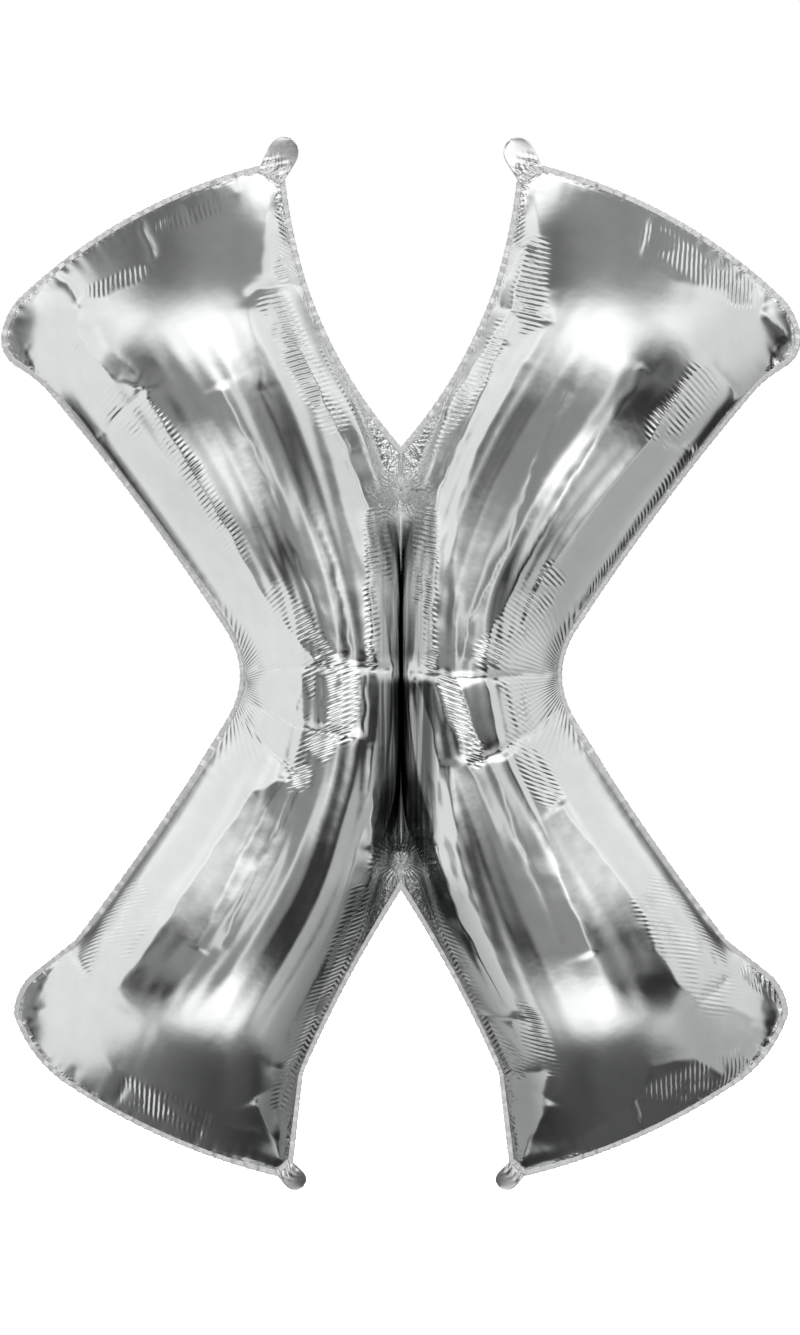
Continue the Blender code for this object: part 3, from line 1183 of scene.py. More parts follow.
def beside(points: Array, line: Sequence[tuple[float, float]]) -> tuple[Array, Array, float]:
    """Distance to a polyline, distance along it, and its length.

    Args:
        points: places (n, 2), mm.
        line: corners, mm.

    Returns:
        The least distance over all stretches, the place along the line of the closest point, and the length.
    """
    corners = np.array(line, float)
    apart = np.full(len(points), np.inf)
    place = np.zeros(len(points))
    passed = 0.0
    for start, end in zip(corners[:-1], corners[1:]):
        step = end - start
        reach = float(np.hypot(*step))
        share = np.clip((points - start) @ step / reach**2, 0.0, 1.0)
        here = np.hypot(*(points - start - share[:, None] * step).T)
        closer = here < apart
        apart = np.where(closer, here, apart)
        place = np.where(closer, passed + share * reach, place)
        passed += reach
    return apart, place, passed


@dataclass
class FilmRelief:
    """The named folds and rib patches of the inflated letter's front, seen from the front, mm."""

    folds: tuple[Fold, ...] = (
        Fold(
            "upper left outer wall", 2.0, 9.0,
            ((-206, 223), (-194, 201), (-160, 144), (-133, 98), (-109, 54), (-86, 25), (-65, 2)),
        ),
        Fold("upper left top of the outer wall", -2.0, 4.0, ((-248, 184), (-225, 205), (-206, 223))),
        Fold("upper left tip", 2.6, 7.0, ((-208, 223), (-230, 230), (-254, 254), (-263, 272), (-261, 295))),
        Fold("upper left tip hollow", -0.9, 6.0, ((-211, 232), (-231, 252), (-248, 280))),
        Fold("upper left cap wall", 1.1, 8.0, ((-261, 297), (-238, 299), (-212, 313), (-200, 326))),
        Fold("upper left cap, long pleat", -2.2, 4.0, ((-215, 370), (-206, 344), (-200, 326))),
        Fold("upper left cap, tip pleat", -2.2, 4.0, ((-283, 322), (-272, 313), (-261, 296))),
        Fold("upper left cap, short pleat", -1.4, 3.5, ((-181, 385), (-167, 360))),
        Fold("upper left cap, pleat by the tab", -1.3, 3.5, ((-140, 401), (-134, 383))),
        Fold("upper left notch wall, top", 1.0, 7.0, ((-102, 394), (-109, 371), (-112, 344), (-114, 313))),
        Fold("upper left notch wall, shelf", -2.0, 4.0, ((-124, 295), (-114, 306), (-78, 313))),
        Fold(
            "upper left notch wall", 1.1, 8.0,
            ((-125, 293), (-118, 259), (-110, 219), (-86, 161), (-65, 107), (-51, 54), (-46, 9)),
        ),
        Fold("upper left notch fold", 2.4, 6.0, ((-83, 257), (-65, 216), (-48, 181), (-29, 129), (-26, 87), (-24, 9))),
        Fold("upper right cap, long pleat", -2.4, 4.0, ((209, 372), (202, 348), (196, 328))),
        Fold("upper right cap wall", 1.1, 8.0, ((197, 329), (219, 313), (250, 308), (270, 294), (293, 292))),
        Fold("upper right cap, tip pleat", -2.0, 4.0, ((306, 306), (293, 292))),
        Fold("upper right tip fold", 1.5, 6.0, ((295, 290), (306, 278), (316, 265))),
        Fold("upper right cap, pleat by the tab", -1.3, 4.0, ((151, 401), (150, 383))),
        Fold("upper right top of the outer wall", -1.8, 4.0, ((276, 220), (262, 234), (249, 247))),
        Fold(
            "upper right outer wall", 1.9, 9.0,
            ((249, 248), (233, 234), (212, 206), (199, 182), (176, 154), (148, 116), (118, 67), (89, 22), (73, -1)),
        ),
        Fold("upper right outer wall, shelf", -1.6, 4.0, ((212, 183), (240, 171))),
        Fold("upper right notch wall, high shelf", -1.7, 4.0, ((87, 348), (118, 341))),
        Fold("upper right notch wall, low shelf", -2.0, 4.0, ((71, 296), (91, 289), (123, 277))),
        Fold("upper right notch wall, top", 0.9, 7.0, ((108, 389), (114, 344), (119, 299))),
        Fold("upper right notch ridge", 1.5, 4.0, ((104, 342), (90, 289), (58, 241), (35, 203))),
        Fold(
            "upper right notch fold", 2.4, 6.0,
            ((84, 263), (65, 214), (47, 177), (34, 147), (29, 124), (29, 87), (25, 9)),
        ),
        Fold("upper right notch wall", 1.0, 7.0, ((99, 250), (81, 210), (65, 181), (45, 126), (42, 79), (44, 9))),
        Fold("waist kink, left", -2.4, 3.5, ((-130, -4), (-99, -2), (-72, 0), (-33, 0), (-6, -2))),
        Fold("waist kink, right", -2.4, 3.5, ((6, -3), (23, -7), (52, -9), (78, -9), (131, -4))),
        Fold(
            "upper left face, ridge", 1.7, 9.0,
            ((-146, 226), (-119, 177), (-100, 128), (-83, 87), (-62, 38), (-51, 5)),
        ),
        Fold(
            "upper left face, groove", -0.9, 4.0,
            ((-112, 226), (-92, 177), (-73, 128), (-56, 87), (-45, 45), (-40, 7)),
        ),
        Fold("upper right face, ridge", 1.7, 9.0, ((195, 242), (163, 193), (130, 136), (101, 87), (77, 38), (63, 2))),
        Fold("upper right face, groove", -1.1, 4.0, ((138, 226), (118, 193), (89, 103), (56, 38), (50, 5))),
        Fold("lower left face, ridge", 1.8, 9.0, ((-92, -90), (-114, -125), (-133, -161), (-145, -191), (-164, -228))),
        Fold("lower left face, groove", -1.0, 4.0, ((-80, -90), (-96, -125), (-115, -161), (-129, -191), (-144, -228))),
        Fold("lower right face, ridge", 1.8, 9.0, ((83, -70), (101, -109), (121, -147), (134, -186), (154, -232))),
        Fold("lower right face, groove", -1.0, 4.0, ((69, -70), (83, -109), (98, -147), (115, -186), (130, -228))),
        Fold("second fold, left", -2.2, 5.0, ((-129, -30), (-100, -38), (-86, -47), (-58, -54), (-35, -58))),
        Fold("third fold, left", -1.8, 4.5, ((-132, -40), (-114, -58), (-84, -86))),
        Fold("second fold, right", -2.4, 5.0, ((130, -34), (102, -55), (81, -67), (53, -80))),
        Fold("block edge, far left", 1.3, 4.0, ((-79, -3), (-85, -40))),
        Fold("block edge, left", 1.3, 4.0, ((-61, -4), (-66, -49))),
        Fold("block edge, mid left", 1.4, 4.0, ((-29, -4), (-30, -56))),
        Fold("block edge, mid right", 1.3, 4.0, ((27, -11), (52, -76))),
        Fold("block edge, right", 1.5, 4.0, ((47, -14), (66, -75))),
        Fold("block edge, far right", 1.3, 4.0, ((69, -14), (80, -65))),
        Fold("block edge, outer right", 1.2, 4.0, ((85, -11), (96, -57))),
        Fold("lower valley fold, right", 1.8, 5.0, ((13, -9), (24, -44), (30, -75), (29, -145))),
        Fold("lower valley fold, left", 1.5, 5.0, ((-24, -60), (-25, -101), (-24, -150))),
        Fold("lower right notch fold", 2.2, 5.0, ((29, -145), (48, -200), (65, -235), (93, -282))),
        Fold("lower right notch wall", 1.8, 6.0, ((38, -75), (45, -145), (54, -183), (87, -259), (97, -286))),
        Fold(
            "lower left outer wall", 1.9, 9.0,
            ((-84, -86), (-118, -101), (-145, -138), (-180, -192), (-208, -235), (-234, -263)),
        ),
        Fold("lower left end of the outer wall", -1.9, 4.0, ((-268, -232), (-252, -253), (-234, -266))),
        Fold("lower left tip seam fold", -1.2, 4.0, ((-303, -282), (-277, -276), (-248, -262))),
        Fold(
            "lower left cap wall", 1.1, 7.0,
            ((-238, -268), (-245, -288), (-242, -308), (-232, -326), (-205, -340), (-162, -371), (-115, -379)),
        ),
        Fold("lower left cap, tip pleat", -2.0, 4.0, ((-235, -362), (-222, -335))),
        Fold("lower left cap, long pleat", -1.8, 4.0, ((-171, -395), (-161, -371))),
        Fold("lower left cap, pleat by the tab", -1.5, 3.5, ((-128, -411), (-125, -395))),
        Fold("lower left cap, short pleat", -1.0, 3.5, ((-274, -341), (-264, -328))),
        Fold(
            "lower left notch wall", 1.2, 7.0,
            ((-24, -150), (-26, -170), (-47, -223), (-64, -260), (-80, -297), (-96, -328)),
        ),
        Fold("lower left notch wall, shelf", -1.7, 4.0, ((-105, -326), (-84, -330))),
        Fold("lower left notch wall, end", 1.5, 6.0, ((-96, -331), (-102, -362), (-94, -406))),
        Fold(
            "lower right outer wall", 2.0, 9.0,
            ((127, -110), (161, -155), (195, -202), (203, -228), (221, -252), (242, -272)),
        ),
        Fold("lower right end of the outer wall", -2.0, 4.0, ((242, -272), (270, -252))),
        Fold("lower right tip fold", 1.7, 6.0, ((243, -271), (269, -277), (289, -287))),
        Fold(
            "lower right cap wall", 1.1, 7.0,
            ((289, -289), (270, -321), (264, -335), (239, -317), (201, -323), (192, -349), (163, -373), (117, -402)),
        ),
        Fold("lower right cap, long pleat", -2.0, 4.0, ((192, -348), (202, -377))),
        Fold("lower right cap, pleat", -1.6, 3.5, ((163, -372), (175, -393))),
        Fold("lower right cap, short pleat", -1.2, 3.5, ((137, -386), (143, -402))),
        Fold("lower right cap, tip pleat", -1.6, 4.0, ((266, -335), (274, -349))),
        Fold("lower right notch, shelf", -1.8, 4.0, ((56, -284), (104, -287))),
        Fold("lower right notch, low shelf", -1.8, 4.0, ((78, -335), (118, -327))),
        Fold("lower right notch wall, end", 1.6, 6.0, ((118, -328), (116, -364), (105, -393), (93, -413))),
        Fold("lower left corner", 4.6, 13.0, ((-93, -410), (-109, -380), (-121, -350))),
        Fold("lower right corner", 4.6, 13.0, ((93, -410), (110, -380), (123, -350))),
    )
    blocks: tuple[RibBlock, ...] = (
        RibBlock(16.3, 0.55, Way.ARM, ((-270, 259), (-246, 222), (-213, 197))),
        RibBlock(10.6, 0.5, Way.ARM, ((-205, 210), (-164, 152), (-127, 87))),
        RibBlock(18.0, 0.8, Way.ARM, ((-96, 54), (-68, 9))),
        RibBlock(9.0, 0.9, Way.ARM, ((-92, 389), (-96, 316))),
        RibBlock(16.3, 1.0, Way.ARM, ((-102, 293), (-83, 250), (-54, 201))),
        RibBlock(9.8, 0.9, Way.ARM, ((-58, 259), (-24, 193))),
        RibBlock(9.8, 0.5, Way.CAP, ((-193, 358), (-144, 377))),
        RibBlock(9.0, 0.5, Way.CAP, ((-250, 303), (-209, 320))),
        RibBlock(17.2, 1.0, Way.CAP, ((208, 348), (279, 303))),
        RibBlock(19.6, 1.0, Way.ARM, ((242, 228), (213, 192))),
        RibBlock(8.2, 0.9, Way.ARM, ((93, 391), (96, 350))),
        RibBlock(18.0, 1.0, Way.ARM, ((109, 336), (101, 281))),
        RibBlock(9.8, 0.9, Way.ARM, ((81, 275), (69, 241))),
        RibBlock(11.4, 1.0, Way.ARM, ((69, 241), (19, 175))),
        RibBlock(11.4, 0.4, Way.ARM, ((236, 173), (163, 63))),
        RibBlock(19.6, 0.9, Way.ARM, ((120, 67), (74, 9))),
        RibBlock(16.3, 0.9, Way.ARM, ((-47, -8), (-47, -52))),
        RibBlock(7.4, 0.7, Way.ARM, ((-73, -8), (-78, -40))),
        RibBlock(16.3, 0.9, Way.ARM, ((-65, -62), (-83, -89))),
        RibBlock(10.6, 1.0, Way.ARM, ((37, -14), (60, -73))),
        RibBlock(13.1, 0.8, Way.ARM, ((91, -14), (99, -54))),
        RibBlock(17.0, 0.6, Way.ARM, ((97, -62), (119, -98))),
        RibBlock(7.4, 1.0, Way.ARM, ((-23, 124), (-22, 2))),
        RibBlock(7.4, 1.0, Way.ARM, ((24, 124), (24, 2))),
        RibBlock(4.9, 1.0, Way.ARM, ((-13, 124), (-12, 54))),
        RibBlock(4.9, 1.0, Way.ARM, ((14, 124), (14, 54))),
        RibBlock(22.9, 0.7, Way.ARM, ((-215, -192), (-248, -248))),
        RibBlock(15.5, 1.0, Way.CAP, ((-218, -346), (-163, -372))),
        RibBlock(13.1, 0.8, Way.ARM, ((-29, -187), (-68, -281))),
        RibBlock(11.4, 0.7, Way.ARM, ((-68, -281), (-99, -354))),
        RibBlock(24.5, 0.95, Way.ARM, ((208, -191), (257, -263))),
        RibBlock(19.6, 0.5, Way.CAP, ((208, -348), (273, -326))),
        RibBlock(18.0, 0.9, Way.ARM, ((65, -297), (91, -326))),
        RibBlock(13.1, 0.9, Way.ARM, ((100, -282), (118, -323))),
        RibBlock(10.6, 0.5, Way.ARM, ((85, -342), (93, -403))),
        RibBlock(8.2, 0.8, Way.CAP, ((279, -250), (311, -269))),
        RibBlock(16.3, 0.7, Way.ARM, ((14, -195), (56, -272))),
    )
    fans: tuple[RibFan, ...] = (
        RibFan(-141.0, -14.0, 10.0, 78.0, 0.55, 76),
        RibFan(140.0, -10.0, 10.0, 74.0, 0.60, 72),
        RibFan(0.0, 144.0, 8.0, 27.0, 1.0, 34),
        RibFan(0.0, -159.0, 8.0, 30.0, 1.0, 34),
    )
    fade: float = 9.0
    fade_start: float = 0.35
    wander: float = 1.1
    wander_slants: tuple[float, float] = (0.3, -0.2)
    wander_lengths: tuple[tuple[float, float], ...] = ((23.0, 41.0), (19.0, 37.0))
    wander_seeds: tuple[int, int] = (41, 43)
    block_slope: float = 1.6
    block_hold: float = 0.6
    fan_start: float = 0.5
    fan_hold: float = 0.45
    still_reach: float = 75.0
    wave_depth: float = 0.52
    wave_width: float = 190.0
    wave_drift: float = 5.0
    drift_length: float = 70.0
    wave_lengths: tuple[float, ...] = (12.0, 21.0, 37.0)
    wave_seed: int = 61

    def swayed(self, points: Array) -> Array:
        """The places shifted a little to and fro, so that no fold runs dead straight.

        Args:
            points: places (n, 2), mm.

        Returns:
            Places (n, 2).
        """
        x, z = points[:, 0], points[:, 1]
        side = ripple(z + self.wander_slants[0] * x, self.wander_lengths[0], self.wander_seeds[0])
        rise = ripple(x + self.wander_slants[1] * z, self.wander_lengths[1], self.wander_seeds[1])
        return points + np.stack([side, rise], axis=1) * self.wander

    def height(self, points: Array) -> Array:
        """The folds' height over the smooth film: sum of lift exp(-distance / spread), fading at both ends.

        Args:
            points: places (n, 2), mm.

        Returns:
            Heights (n,), mm.
        """
        places = self.swayed(points)
        total = np.zeros(len(points))
        for fold in self.folds:
            apart, place, reach = beside(places, fold.line)
            ends = smooth((np.minimum(place, reach - place) + self.fade_start * self.fade) / self.fade)
            total += fold.lift * ends * np.exp(-apart / fold.spread)
        return total

    def waves(self, gauge: FilmGauge) -> Array:
        """Long soft waves that run along the arms and close up at the waist: ripples of the share across, drifting.

        Args:
            gauge: the measured flat grid.

        Returns:
            Heights (2 lobes, rows, columns), mm.
        """
        width = evened(gauge.from_inner[:, -1].copy(), gauge.from_inner.shape[0])
        share = gauge.from_outer / width[:, None]
        still = smooth((gauge.from_cap - self.still_reach) / self.still_reach)
        lobes = []
        for turn in (0, 3):
            place = share * self.wave_width + self.wave_drift * np.sin(gauge.from_top / self.drift_length + turn)
            lobes.append(self.wave_depth * still * ripple(place, self.wave_lengths, self.wave_seed + turn))
        return np.stack(lobes)

    def ribs(self, points: Array, way: Way) -> Array:
        """How strongly the ribs of one way stand: the strongest patch, easing out over its outer part.

        Args:
            points: places (n, 2), mm.
            way: which ribs.

        Returns:
            Strengths (n,), from 0 to about 1.
        """
        places = self.swayed(points)
        most = np.zeros(len(points))
        for block in self.blocks:
            if block.way is way:
                apart = beside(places, block.line)[0]
                easing = smooth(apart / block.half_width * self.block_slope - self.block_hold)
                most = np.maximum(most, block.strength * (1.0 - easing))
        return most

    def spread(self, points: Array) -> tuple[Array, Array]:
        """The fans' ribs round the nearest fan's point: its angle as turns of the rib wave.

        Args:
            points: places (n, 2), mm.

        Returns:
            The turns and the strength at each place.
        """
        turns, most = np.zeros(len(points)), np.zeros(len(points))
        for fan in self.fans:
            away = points - (fan.x, fan.z)
            apart = np.hypot(away[:, 0], away[:, 1])
            rising = smooth((apart - self.fan_start * fan.start) / fan.start)
            falling = smooth((apart / fan.reach - self.fan_hold) / (1.0 - self.fan_hold))
            strength = fan.strength * (rising * (1.0 - falling))
            facing = -1.0 if fan.x < 0.0 else 1.0
            angle = np.arctan2(away[:, 1] * facing, -away[:, 0] * facing)
            stronger = strength > most
            turns = np.where(stronger, angle / TAU * fan.ribs, turns)
            most = np.where(stronger, strength, most)
        return turns, most


@dataclass
class SeamWave:
    """How the sealed edge waves in and out of its plane, mm, by distance along the outline."""

    cut: LetterCut
    depth: float = 0.9
    reach: float = 11.0
    wave_lengths: tuple[float, ...] = (9.0, 13.5, 21.0)
    wave_seed: int = 11
    swell_lengths: tuple[float, ...] = (80.0, 140.0)
    swell_seed: int = 5
    swell_share: float = 0.45
    calm_reach: float = 16.0
    batch: int = 4000
    line: Array = field(init=False)
    offset: Array = field(init=False)

    def __post_init__(self) -> None:
        """Lays the wave on the outer edge of the film: a ripple times a slow swell, calm at the crotches."""
        self.line = self.cut.inset(self.cut.half()[0], self.cut.seam_width)
        place, total = round_trip(self.line)
        wave = ripple(place, self.wave_lengths, self.wave_seed, total)
        swell = ripple(place, self.swell_lengths, self.swell_seed, total)
        swell = (1.0 - self.swell_share) + self.swell_share * swell
        self.offset = self.depth * wave * swell * (1.0 - bell(self.line[:, 0] / self.calm_reach))

    def at(self, points: Array, gap: Array) -> Array:
        """The wave's push on points, fading away from the seam.

        Args:
            points: places (n, 2), mm.
            gap: their distance from the seam, mm.

        Returns:
            Offsets along +Y, mm: the nearest edge point's offset times exp(-gap / reach).
        """
        found = np.zeros(len(points))
        near = np.flatnonzero(gap < 4.0 * self.reach)
        for part in np.array_split(near, max(1, len(near) // self.batch)):
            apart = points[part, None] - self.line[None]
            closest = np.einsum("nmk,nmk->nm", apart, apart).argmin(axis=1)
            found[part] = self.offset[closest] * np.exp(-gap[part] / self.reach)
        return found


# The letter's pieces


@dataclass
class FilmPanels:
    """The front and back films of the letter. Sizes in mm."""

    cut: LetterCut
    wave: SeamWave
    finish: FilmFinish
    relief: FilmRelief
    mesh: tuple[int, int] = (424, 116)
    fold_fade: float = 14.0
    wave_start: float = 22.0
    wave_fade: float = 30.0
    notch_crush: float = 6.0
    edge_crush: float = 3.0
    edge_strength: float = 0.5
    weld_crush: float = 12.0
    weld_ring: float = 9.0
    # where the film gets painted shade: in the waist's valley, and beside the lower notch
    valley_middle: float = 3.5
    valley_half: float = 28.0
    valley_soft: float = 9.0
    valley_top: float = -6.0
    valley_foot: float = -172.0
    foot_fade: float = 16.0
    upper_valley_shade: float = 0.5
    upper_gap: float = 6.0
    upper_fade: float = 12.0
    valley_head: float = 132.0
    head_fade: float = 20.0
    notch_shade: float = 0.72
    notch_near: float = 22.0
    notch_fade: float = 48.0
    notch_lift: float = 14.0
    notch_soft: float = 30.0
    passes: tuple[Pass, ...] = (Pass(84, 22, 250, 0.12), Pass(168, 44, 120, 0.05))
    quick_passes: tuple[Pass, ...] = (Pass(84, 22, 250, 0.12), Pass(168, 44, 90, 0.05))

    def build(self) -> list[bpy.types.Object]:
        """Inflates the film once and uses it in front and, turned half round, behind.

        Returns:
            The two films.
        """
        inflation = Inflation(self.cut, self.passes)
        inflation.run()
        shape = inflation.dress(*self.mesh).astype(float)
        gauge = inflation.gauge
        index, keep = self.numbers(gauge.grid)
        points = shape.reshape(-1, 3)[keep]
        gap = self.both(gauge.from_seam, keep)
        lift = self.relief.height(points[:, [0, 2]]) * smooth(gap / self.fold_fade)
        lift = lift + self.relief.waves(gauge).ravel()[keep] * smooth((gap - self.wave_start) / self.wave_fade)
        points = points + self.outward(inflation, keep) * lift[:, None]
        quads = np.concatenate([Mesh.grid_quads(index[0]), Mesh.grid_quads(index[1])[:, ::-1]])
        values = self.values(gauge, keep, points[:, [0, 2]])
        material = self.finish.make()
        made = []
        for name, turn in (("front_panel", 1.0), ("back_panel", -1.0)):
            placed = points * (turn, turn, 1.0)
            placed[:, 1] += self.wave.at(placed[:, [0, 2]], gap)
            film = Mesh.make(name + "_film", placed * MM, quads, values)
            film.data.materials.append(material)
            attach(film, "root")
            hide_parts(name)
            made.append(film)
            LOG.info("%s: %d faces", film.name, len(quads))
        return made

    def numbers(self, grid: LobeGrid) -> tuple[Array, Array]:
        """Point numbers of both lobes with the middle line shared.

        Args:
            grid: the flat grid.

        Returns:
            Numbers (2 lobes, rows + 1, columns + 1), and which of all points are kept.
        """
        shape = (2, *grid.points.shape[:2])
        index = np.arange(math.prod(shape)).reshape(shape)
        index[1, grid.first : grid.last + 1, 0] = index[0, grid.first : grid.last + 1, 0]
        kept, packed = np.unique(index, return_inverse=True)
        return packed.reshape(shape), kept

    def both(self, values: Array, keep: Array) -> Array:
        """One lobe's numbers for the kept points of both lobes."""
        return np.tile(values.ravel(), 2)[keep]

    def outward(self, inflation: Inflation, keep: Array) -> Array:
        """Unit normals of the inflated film, evened over neighbours.

        Args:
            inflation: the dressed film.
            keep: which points are kept.

        Returns:
            Vectors (n, 3).
        """
        out = unit(inflation.normals().astype(float))
        for _ in range(3):
            out[:, 1:-1, 1:-1] = unit(
                out[:, 1:-1, 1:-1] + out[:, :-2, 1:-1] + out[:, 2:, 1:-1] + out[:, 1:-1, :-2] + out[:, 1:-1, 2:]
            )
        return out.reshape(-1, 3)[keep]

    def values(self, gauge: FilmGauge, keep: Array, plan: Array) -> dict[str, Array]:
        """The numbers that the film's material reads, one per point.

        Args:
            gauge: the measured flat grid.
            keep: which points are kept.
            plan: their places (n, 2), mm.

        Returns:
            Places along and across the arm in metres, the fans' turns, and strengths from 0 to 1, the shares of painted
            shade among them.
        """
        fan, fan_ribs = self.relief.spread(plan)
        return {
            "along": self.both(gauge.from_top * MM, keep),
            "across": self.both(gauge.from_inner * MM, keep),
            "side_ribs": self.relief.ribs(plan, Way.ARM),
            "cap_ribs": self.relief.ribs(plan, Way.CAP),
            "fan": fan,
            "fan_ribs": fan_ribs,
            "crushed": self.crushed(gauge, keep, plan),
            # painted shade in the valley, and beside the lower notch
            "valley": self.valley(plan),
            "shaded": self.between_arms(gauge, keep, plan),
        }

    def valley(self, plan: Array) -> Array:
        """How much painted shade the film gets in the waist's valley, where its walls hide each other from the light.

        Args:
            plan: places (n, 2), mm.

        Returns:
            Shares of painted shade from 0 to 1: an eased band round the middle, full below the waist's kink and weaker
                above it.
        """
        x, z = plan.T
        band = smooth((self.valley_half - np.abs(x - self.valley_middle)) / self.valley_soft)
        above = smooth((self.valley_top - z) / self.valley_soft)
        below = smooth((z - self.valley_foot) / self.foot_fade)
        upper = self.upper_valley_shade * smooth((z - self.valley_top - self.upper_gap) / self.upper_fade)
        upper = upper * smooth((self.valley_head - z) / self.head_fade)
        return band * np.maximum(above * below, upper)

    def between_arms(self, gauge: FilmGauge, keep: Array, plan: Array) -> Array:
        """How much painted shade the film gets beside the lower notch, where the lower arms hide each other from the
        light.

        Args:
            gauge: the measured flat grid.
            keep: which points are kept.
            plan: their places (n, 2), mm.

        Returns:
            Shares of painted shade from 0 to 1, easing out away from the notch's seam and up to the weld.
        """
        near = 1.0 - smooth((self.both(gauge.from_inner, keep) - self.notch_near) / self.notch_fade)
        below = smooth((self.valley_foot + self.notch_lift - plan[:, 1]) / self.notch_soft)
        return self.notch_shade * near * below

    def crushed(self, gauge: FilmGauge, keep: Array, plan: Array) -> Array:
        """How finely crumpled the film is: bells round the welds, along the notches and by the seam.

        Args:
            gauge: the measured flat grid.
            keep: which points are kept.
            plan: their places (n, 2), mm.

        Returns:
            Shares from 0 to 1.
        """
        notch = np.where(gauge.open_side(), 0.0, bell(gauge.from_inner / self.notch_crush))
        edge = self.edge_strength * bell(np.minimum(gauge.from_outer, gauge.from_cap) / self.edge_crush)
        most = self.both(np.maximum(notch, edge), keep)
        for height in (self.cut.upper_disc, self.cut.lower_disc):
            apart = np.hypot(plan[:, 0], plan[:, 1] - height)
            most = np.maximum(most, bell(np.maximum(apart - self.weld_ring, 0.0) / self.weld_crush))
        return most


@dataclass
class SeamFlange:
    """The flat sealed edge round the letter, a thin ruffled ribbon. Sizes in mm."""

    cut: LetterCut
    wave: SeamWave
    finish: CrimpFinish
    spacing: float = 1.1
    tuck: float = 1.2
    thickness: float = 0.5
    thinning: float = 0.5
    ruffle: float = 0.16
    ruffle_lengths: tuple[float, ...] = (3.4, 4.6, 6.1)
    ruffle_growth: float = 0.4
    ruffle_seed: int = 23
    nibble: float = 0.35
    nibble_lengths: tuple[float, ...] = (4.1, 7.7)
    nibble_seed: int = 31
    shares: tuple[float, ...] = (0.0, 0.2, 0.4, 0.6, 0.8, 1.0)

    def build(self) -> bpy.types.Object:
        """Carries a flat closed profile along the outline: its points run out in front and back in behind.

        Returns:
            The ribbon.
        """
        half, _ = self.cut.half()
        half = resample(half, np.linspace(0.0, 1.0, int(length_of(half) / self.spacing)))
        half[[0, -1], 0] = 0.0
        inner = self.cut.seam_width + self.tuck
        rows = [self.cut.inset(half, inner * (1.0 - share)) for share in self.shares]
        place, total = round_trip(rows[-1])
        ruffle = ripple(place, self.ruffle_lengths, self.ruffle_seed, total) * self.ruffle
        nibble = ripple(place, self.nibble_lengths, self.nibble_seed, total) * self.nibble
        outward = unit(rows[-1] - rows[-2])
        front, back = [], []
        for share, row in zip(self.shares, rows):
            bend = self.wave.at(row, np.zeros(len(row))) + ruffle * share * (1.0 + self.ruffle_growth * share)
            plan = row + outward * (nibble * share)[:, None]
            half_thick = 0.5 * self.thickness * (1.0 - self.thinning * share)
            front.append(np.stack([plan[:, 0], bend - half_thick, plan[:, 1]], axis=1))
            back.append(np.stack([plan[:, 0], bend + half_thick, plan[:, 1]], axis=1))
        points = np.stack(front + back[::-1], axis=1)
        index = Mesh.loop_index(points.shape[0], points.shape[1], True)
        crimp = {"crimp": np.ones(points.shape[0] * points.shape[1])}
        made = Mesh.make("sealed_edge", points.reshape(-1, 3) * MM, Mesh.grid_quads(index), crimp)
        made.data.materials.append(self.finish.make())
        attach(made, "root")
        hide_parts("perimeter_seam")
        LOG.info("sealed edge: %d mm round", int(total))
        return made


